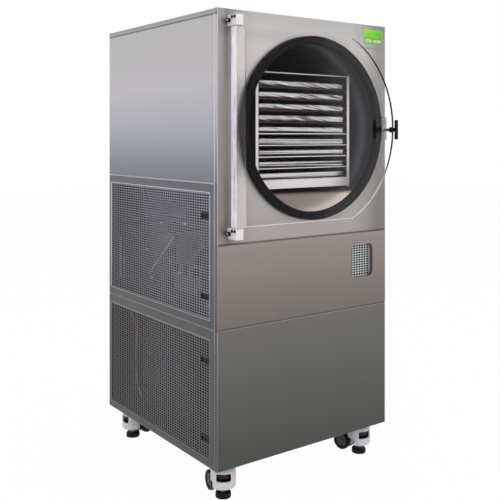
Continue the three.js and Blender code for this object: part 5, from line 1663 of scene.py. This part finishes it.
def addCondenser():
    low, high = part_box("condenser")
    depth = condenser["depth"]
    coreLow, coreHigh = low.z + 10 * mm, high.z
    fanAxis = Vector(jointNamed("fan_spin")["pos_m"])
    silver, copper = "finSilver", "copperTube"
    count = int((high.y - low.y - 12 * mm) / condenser["finPitch"])
    fin = roundBox(
        "fin", (-depth / 2 + 1 * mm, -condenser["fin"] / 2, -(coreHigh - coreLow) / 2 + 2 * mm),
        (depth / 2 - 1 * mm, condenser["fin"] / 2, (coreHigh - coreLow) / 2 - 2 * mm), 0, silver)
    middleZ = (coreLow + coreHigh) / 2
    fins = onPoints(
        "fins",
        [(low.x + depth / 2, low.y + 8 * mm + condenser["finPitch"] * index, middleZ)
         for index in range(count)], fin, silver)
    ends = [
        roundBox("end", (low.x, y, coreLow), (low.x + depth, y + 2 * mm, coreHigh), 0.5 * mm, silver, 1)
        for y in (low.y, high.y - 2 * mm)]
    tubes = []
    for bank, x in enumerate((low.x + 12 * mm, low.x + 33 * mm)):
        for row in range(condenser["rows"]):
            z = coreLow + (coreHigh - coreLow) * (row + 0.5) / condenser["rows"]
            tubes.append(pipe("tube", [(x, low.y, z), (x, high.y, z)], condenser["tube"], copper, 10,
                              smooth=False))
            if row % 2 == bank:
                continue
            if row + 1 < condenser["rows"]:
                after = z + (coreHigh - coreLow) / condenser["rows"]
                tubes.append(pipe("bend", [
                    (x, high.y - 3 * mm, z), (x, high.y + 9 * mm, z + 6 * mm),
                    (x, high.y + 9 * mm, after - 6 * mm), (x, high.y - 3 * mm, after)],
                    condenser["tube"], copper, 10))
    shroud = roundBox("shroud", (low.x + depth - 1 * mm, low.y, coreLow), (low.x + depth + 8 * mm, high.y, coreHigh),
                      1.5 * mm, "machineBlack", 2)
    throat = lathe("throat", [(0, -0.4), (153 * mm, -0.4), (153 * mm, 0), (0, 0)], "machineBlack",
                   "x", (0, fanAxis.y, fanAxis.z), 64)
    cutBy(shroud, [throat])
    ring = lathe("ring", [(150 * mm, low.x + depth - 1 * mm), (155 * mm, low.x + depth - 1 * mm),
                          (155 * mm, low.x + depth + 8 * mm), (152 * mm, low.x + depth + 8 * mm)],
                 "machineBlack", "x", (0, fanAxis.y, fanAxis.z), 64, closed=True)
    motorRadius, motorLength = condenser["motor"]
    motorX = fanAxis.x + condenser["hub"][1] / 2 + 8 * mm
    motor = lathe("motor", [
        (5 * mm, motorX - 18 * mm), (5 * mm, motorX), (motorRadius - 5 * mm, motorX), (motorRadius, motorX + 5 * mm),
        (motorRadius, motorX + motorLength - 6 * mm), (motorRadius - 6 * mm, motorX + motorLength),
        (0, motorX + motorLength)], "machineBlack", "x", (0, fanAxis.y, fanAxis.z), 48)
    bridgeX = motorX + motorLength / 2
    bridge = roundBox("bridge", (bridgeX, low.y, fanAxis.z - 12 * mm), (bridgeX + 6 * mm, high.y, fanAxis.z + 12 * mm),
                      1 * mm, "frameGrey", 2)
    stays = [
        roundBox("stay", (low.x + depth - 1 * mm, y, fanAxis.z - 12 * mm),
                 (bridgeX + 6 * mm, y + 6 * mm, fanAxis.z + 12 * mm), 1 * mm, "frameGrey", 2)
        for y in (low.y, high.y - 6 * mm)]
    feet = [
        roundBox("foot", (low.x, y, low.z), (low.x + depth + 40 * mm, y + 30 * mm, low.z + 13 * mm), 1.5 * mm,
                 "frameGrey", 2)
        for y in (low.y + 10 * mm, high.y - 40 * mm)]
    whole = joined("condenser_made", [fins, *ends, *tubes, shroud, ring, motor, bridge, *stays, *feet])
    finish(whole, "cabinet", "machine_black", "condenser", angle=38)


def addFan():
    low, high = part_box("fan")
    axis = Vector(jointNamed("fan_spin")["pos_m"])
    hubRadius, hubLength = condenser["hub"]
    black = "blackPlastic"
    hub = lathe("hub", [
        (5.6 * mm, low.x + 2 * mm), (hubRadius - 4 * mm, low.x), (hubRadius, low.x + 3 * mm),
        (hubRadius, high.x), (5.6 * mm, high.x)], black, "x", (0, axis.y, axis.z), 48, closed=True)
    sections = []
    for step in range(8):
        share = step / 7
        reach = hubRadius - 4 * mm + (condenser["fanRadius"] - hubRadius + 4 * mm) * share
        chord = (42 + 20 * share) * mm
        lean = math.radians(24 - 8 * share)
        ring = []
        for side, order in ((1, range(7)), (-1, range(6, -1, -1))):
            for point in order:
                along = point / 6 - 0.5
                camber = 0.09 * chord * (1 - (2 * along) ** 2)
                thick = side * 1.1 * mm * (1 - (2 * along) ** 4)
                y = along * chord * math.cos(lean) - (camber + thick) * math.sin(lean)
                x = along * chord * math.sin(lean) + (camber + thick) * math.cos(lean)
                flat = max(-hubLength / 2, min(hubLength / 2, x))
                ring.append((flat + (low.x + high.x) / 2, y, math.sqrt(max(0, reach ** 2 - y ** 2))))
        sections.append(ring)
    blade = loft("blade", sections, black)
    blades = allRound("blades", blade, 5, black, "x", (0, axis.y, axis.z))
    whole = joined("fan_made", [hub, blades])
    finish(whole, "fan_rotor", "black_plastic", "fan", angle=40)


pump = {"case": (170 * mm, 170 * mm), "motor": (68 * mm, 190 * mm), "filter": 34 * mm, "port": 14 * mm}


def addPump():
    low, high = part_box("vacuum_pump")
    middleX = (low.x + high.x) / 2
    length, height = pump["case"]
    caseLow, caseTop = low.z + 14 * mm, low.z + 14 * mm + height
    axisZ = (caseLow + caseTop) / 2
    dark, grey = "machineBlack", "frameGrey"
    body = roundBox("body", (low.x, low.y, caseLow), (high.x, low.y + length, caseTop), 7 * mm, dark, 4)
    motorRadius, motorLength = pump["motor"]
    motorStart, motorEnd = low.y + length - 1 * mm, low.y + length + motorLength
    profile = [(0, motorStart), (motorRadius, motorStart), (motorRadius, motorStart + 8 * mm)]
    profile += [(motorRadius - 6 * mm, motorStart + 9 * mm), (motorRadius - 6 * mm, motorEnd - 30 * mm)]
    profile += [(motorRadius - 1 * mm, motorEnd - 29 * mm), (motorRadius - 1 * mm, motorEnd - 6 * mm),
                (motorRadius - 7 * mm, motorEnd), (0, motorEnd)]
    motor = lathe("motor", profile, dark, "y", (middleX, 0, axisZ), 64)
    rib = roundBox("rib", (-1.2 * mm, motorStart + 8 * mm, motorRadius - 8 * mm),
                   (1.2 * mm, motorEnd - 30 * mm, motorRadius - 0.5 * mm), 0.5 * mm, dark, 1)
    ribs = allRound("ribs", rib, 36, dark, "y", (middleX, 0, axisZ))
    skids = [
        roundBox("skid", (x, low.y, low.z), (x + 24 * mm, motorEnd - 30 * mm, low.z + 15 * mm), 2 * mm, grey)
        for x in (low.x, high.x - 24 * mm)]
    block = roundBox("block", (low.x, low.y + length + 90 * mm, low.z + 14 * mm),
                     (high.x, low.y + length + 120 * mm, axisZ), 3 * mm, dark)
    filterX, filterY = middleX + 20 * mm, low.y + 60 * mm
    radius = pump["filter"]
    oilFilter = lathe("filter", [
        (0, caseTop - 4 * mm), (radius - 4 * mm, caseTop - 4 * mm), (radius - 4 * mm, caseTop + 6 * mm),
        (radius, caseTop + 8 * mm), (radius, high.z - 8 * mm), (radius - 2 * mm, high.z - 3 * mm),
        (radius - 7 * mm, high.z), (0, high.z)], "glossBlack", "z", (filterX, filterY, 0), 48)
    portX, portY = middleX - 40 * mm, low.y + 120 * mm
    radius = pump["port"]
    portTop = caseTop + 26 * mm
    port = lathe("port", [
        (0, caseTop - 4 * mm), (radius, caseTop - 4 * mm), (radius, portTop - 8 * mm), (radius + 6 * mm, portTop - 5 * mm),
        (radius + 6 * mm, portTop), (0, portTop)], "zincPlate", "z", (portX, portY, 0), 40)
    glass = lathe("glass", [(0, 0), (15 * mm, 0), (15 * mm, -2 * mm), (12 * mm, -3 * mm), (12 * mm, -1 * mm),
                            (0, -1 * mm)], "zincPlate", "y",
                  (middleX - 38 * mm, low.y + 1 * mm, axisZ - 20 * mm), 40)
    whole = joined("vacuum_pump_made", [body, motor, ribs, *skids, block, oilFilter, port, glass])
    finish(whole, "cabinet", "machine_black", "vacuum_pump", angle=38)


def addPiping():
    # tubes, hoses and wires between the machines, behind the vents; fixed places were set out with the
    # cabinet's front face at y -0.3255
    shift = Matrix.Translation((0, cabinetLow.y + 0.3255, 0))
    pumpLow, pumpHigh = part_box("vacuum_pump")
    portX, portY = (pumpLow.x + pumpHigh.x) / 2 - 40 * mm, pumpLow.y + 120 * mm
    portZ = pumpHigh.z - 30 * mm
    hose = pipe("hose", [
        (portX, portY, portZ), (portX, portY, portZ + 30 * mm), (portX - 40 * mm, portY + 60 * mm, portZ + 50 * mm),
        (portX - 130 * mm, portY + 160 * mm, portZ + 70 * mm), (-0.27, 0.29, 0.90), (-0.27, 0.30, 1.05)],
        9 * mm, "wheelHub", 20)
    steel = [
        pipe("riser", [(-0.345, 0.352, 0.606), (-0.345, 0.352, 0.757)], 2.4 * mm, "rackSilver", 12,
             smooth=False),
        pipe("riser", [(-0.345, 0.314, 0.606), (-0.345, 0.314, 0.69)], 2 * mm, "rackSilver", 12,
             smooth=False),
        pipe("brace", [(-0.325, -0.009, 0.793), (-0.325, 0.159, 0.647)], 3 * mm, "zincPlate", 12,
             smooth=False),
    ]
    copper = [
        pipe("suction", [
            (0.06, 0.12, 0.335), (0.06, 0.12, 0.37), (0.03, 0.18, 0.40), (-0.12, 0.30, 0.42),
            (-0.29, 0.34, 0.44), (-0.30, 0.335, 0.50)], 6.5 * mm, "copperTube", 14),
        pipe("liquid", [
            (-0.282, 0.253, 0.16), (-0.282, 0.29, 0.16), (-0.285, 0.32, 0.19), (-0.285, 0.325, 0.46),
            (-0.285, 0.325, 0.50)], 4.8 * mm, "copperTube", 12),
    ]
    valve = lathe("valve", [
        (0, 0), (16 * mm, 0), (16 * mm, 5 * mm), (11 * mm, 8 * mm), (11 * mm, 30 * mm), (18 * mm, 33 * mm),
        (18 * mm, 42 * mm), (8 * mm, 46 * mm), (0, 46 * mm)], "wheelHub", "y",
        (-0.305, 0.06, 0.70), 32)
    knob = lathe("knob", [(0, 0), (9 * mm, 0), (10 * mm, 2 * mm), (10 * mm, 12 * mm), (8 * mm, 14 * mm),
                          (0, 14 * mm)], "wheelHub", "y", (-0.305, 0.035, 0.71), 24)
    tubes = moved(joined("inner_tubes", [hose, *steel, *copper, valve, knob]), shift)
    finish(tubes, "cabinet", "chamber_steel", angle=40)
    wires = []
    tones = ["wireRed", "wireBlue", "wireGreen", "glossBlack"]
    for index in range(8):
        drift = index * 6 * mm
        wires.append(pipe("wire", [
            (-0.318, 0.16 + drift, 0.90), (-0.322, 0.15 + drift * 1.2, 0.84), (-0.316, 0.18 + drift, 0.76),
            (-0.320, 0.12 + drift * 1.6, 0.69), (-0.312, 0.10 + drift, 0.62), (-0.30, 0.02 + drift, 0.58)],
            1.5 * mm, tones[index % 4], 8))
    bundle = moved(joined("inner_wires", wires), shift)
    finish(bundle, "cabinet", "black_plastic", angle=60)


def addBoard():
    # a brown control board, a driver box and small pale fittings just behind the upper vent
    x = -0.30
    board = roundBox("board", (x, -0.14, 0.605), (x + 3 * mm, 0.025, 0.705), 0.8 * mm, "boardBrown", 2)
    parts = [board]
    for index in range(5):
        y = -0.132 + 30 * mm * index
        parts.append(roundBox("relay", (x - 16 * mm, y, 0.67), (x, y + 22 * mm, 0.695), 1 * mm,
                              "boardBrown" if index % 2 else "glossBlack", 2))
        parts.append(roundBox("terminal", (x - 10 * mm, y, 0.613), (x, y + 26 * mm, 0.627), 1 * mm,
                              "wheelHub", 2))
    parts.append(roundBox("driver", (x, 0.045, 0.755), (x + 30 * mm, 0.15, 0.79), 3 * mm,
                          "driverBlue", 3))
    cap = lathe("cap", [(0, -4 * mm), (3 * mm, -4 * mm), (4 * mm, -3 * mm), (4 * mm, 3 * mm), (0, 3 * mm)],
                "whiteCard", "x", (0, 0, 0), 16)
    places = [(0.152, 0.731), (0.167, 0.733), (-0.099, 0.846), (0.06, 0.836), (0.128, 0.636), (-0.061, 0.677)]
    parts.append(onPoints("caps", [(-0.335, y, z) for y, z in places], cap, "whiteCard"))
    whole = moved(joined("control_board", parts), Matrix.Translation((0, cabinetLow.y + 0.3255, 0)))
    finish(whole, "cabinet", "black_plastic", angle=38)


panelScrews = {"across": (0.03, 0.5, 0.97), "up": (0.02, 0.26, 0.5, 0.74, 0.98), "radius": 4 * mm}


def addScrews():
    # screws of the right and back panels, round the edges and in the middle of top and bottom
    rows = []
    for node, axis in (("right_panel", "x"), ("back_panel", "y")):
        low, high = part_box(node)
        points = []
        for across in panelScrews["across"]:
            for up in panelScrews["up"]:
                if across != 0.5 or up in (0.02, 0.98):
                    point = low + (high - low) * across
                    point["xy".index(axis)] = high["xy".index(axis)]
                    point.z = low.z + (high.z - low.z) * up
                    points.append(point)
        screw = socketScrew("screw", panelScrews["radius"], axis, 1, "zincPlate")
        rows.append(onPoints("screws", points, screw, "zincPlate"))
    finish(joined("panel_screws", rows), "cabinet", "stainless_panel", angle=40)


# Scene

stage = {
    "floorSize": 14,
    "floorGlow": 0.985,         # of full white
    "ambient": 0.55,
    "lamps": [                  # name, place, target, sides and watts
        ("key", (-3.4, -3.2, 4.2), (0, 0, 0.9), (3.6, 3.6), 95),
        ("fill", (3.6, -3.4, 4.4), (0, 0, 0.8), (3.4, 3.4), 45),
        ("top", (0.0, 0.3, 4.4), (0, 0, 0.8), (3.2, 3.2), 45),
    ],
}


def straightView(tree, share):
    # the share for rays that come from the camera, by way of glass or gloss or not, and 0 for the others
    path = tree.nodes.new("ShaderNodeLightPath")
    seen = Wire(tree, path.outputs["Is Camera Ray"]) + Wire(tree, path.outputs["Is Glossy Ray"])
    seen = seen + Wire(tree, path.outputs["Is Transmission Ray"])
    return seen.node("ShaderNodeMath", {"operation": "MULTIPLY", "use_clamp": True}, {0: seen, 1: share})


def addStage():
    material, shader, place = newMaterial("floorWhite", Roughness=0.9)
    tree = material.node_tree
    speckle = noise(place, 30, 2, 0.5)
    feed(shader, "Base Color", between(place, speckle, (0.86, 0.86, 0.86, 1), (0.88, 0.88, 0.88, 1)))
    share = straightView(tree, stage["floorGlow"])
    glow = tree.nodes.new("ShaderNodeEmission")
    glow.inputs["Color"].default_value = (1, 1, 1, 1)
    mix = tree.nodes.new("ShaderNodeMixShader")
    tree.links.new(share.socket, mix.inputs[0])
    tree.links.new(shader.outputs[0], mix.inputs[1])
    tree.links.new(glow.outputs[0], mix.inputs[2])
    tree.links.new(mix.outputs[0], tree.nodes["Material Output"].inputs["Surface"])
    shape = bmesh.new()
    bmesh.ops.create_grid(shape, x_segments=1, y_segments=1, size=stage["floorSize"])
    floor = objectFrom("floor", shape, material)


def addWorld():
    world = bpy.data.worlds.new("studio")
    bpy.context.scene.world = world
    world.use_nodes = True
    tree = world.node_tree
    level = straightView(tree, 1.0)
    background = tree.nodes["Background"]
    background.inputs["Color"].default_value = (1, 1, 1, 1)
    strength = level * (1 - stage["ambient"]) + stage["ambient"]
    tree.links.new(strength.socket, background.inputs["Strength"])


def addLamp(name, place, target, size, power):
    data = bpy.data.lights.new(name, "AREA")
    data.shape = "RECTANGLE"
    data.size, data.size_y = size
    data.energy = power
    lamp = bpy.data.objects.new(name, data)
    lamp.location = place
    lamp.rotation_euler = (Vector(target) - Vector(place)).to_track_quat("-Z", "Y").to_euler()
    bpy.context.scene.collection.objects.link(lamp)


addCamera()
materials = addMaterials()
addStage()
addWorld()
for lamp in stage["lamps"]:
    addLamp(*lamp)
bpy.context.scene.view_settings.view_transform = "Standard"
print("stage set")

addPanels()
addVent("upper")
addVent("lower")
addWindow()
print("vents and window pierced")
addDisplay()
addChamber()
addRack()
addTrays()
addDoor()
addHinges()
addHandle()
addCasters()
addFrame()
addJacket()
addCompressor()
addCondenser()
addFan()
addPump()
addPiping()
addBoard()
addScrews()
print("machinery made")
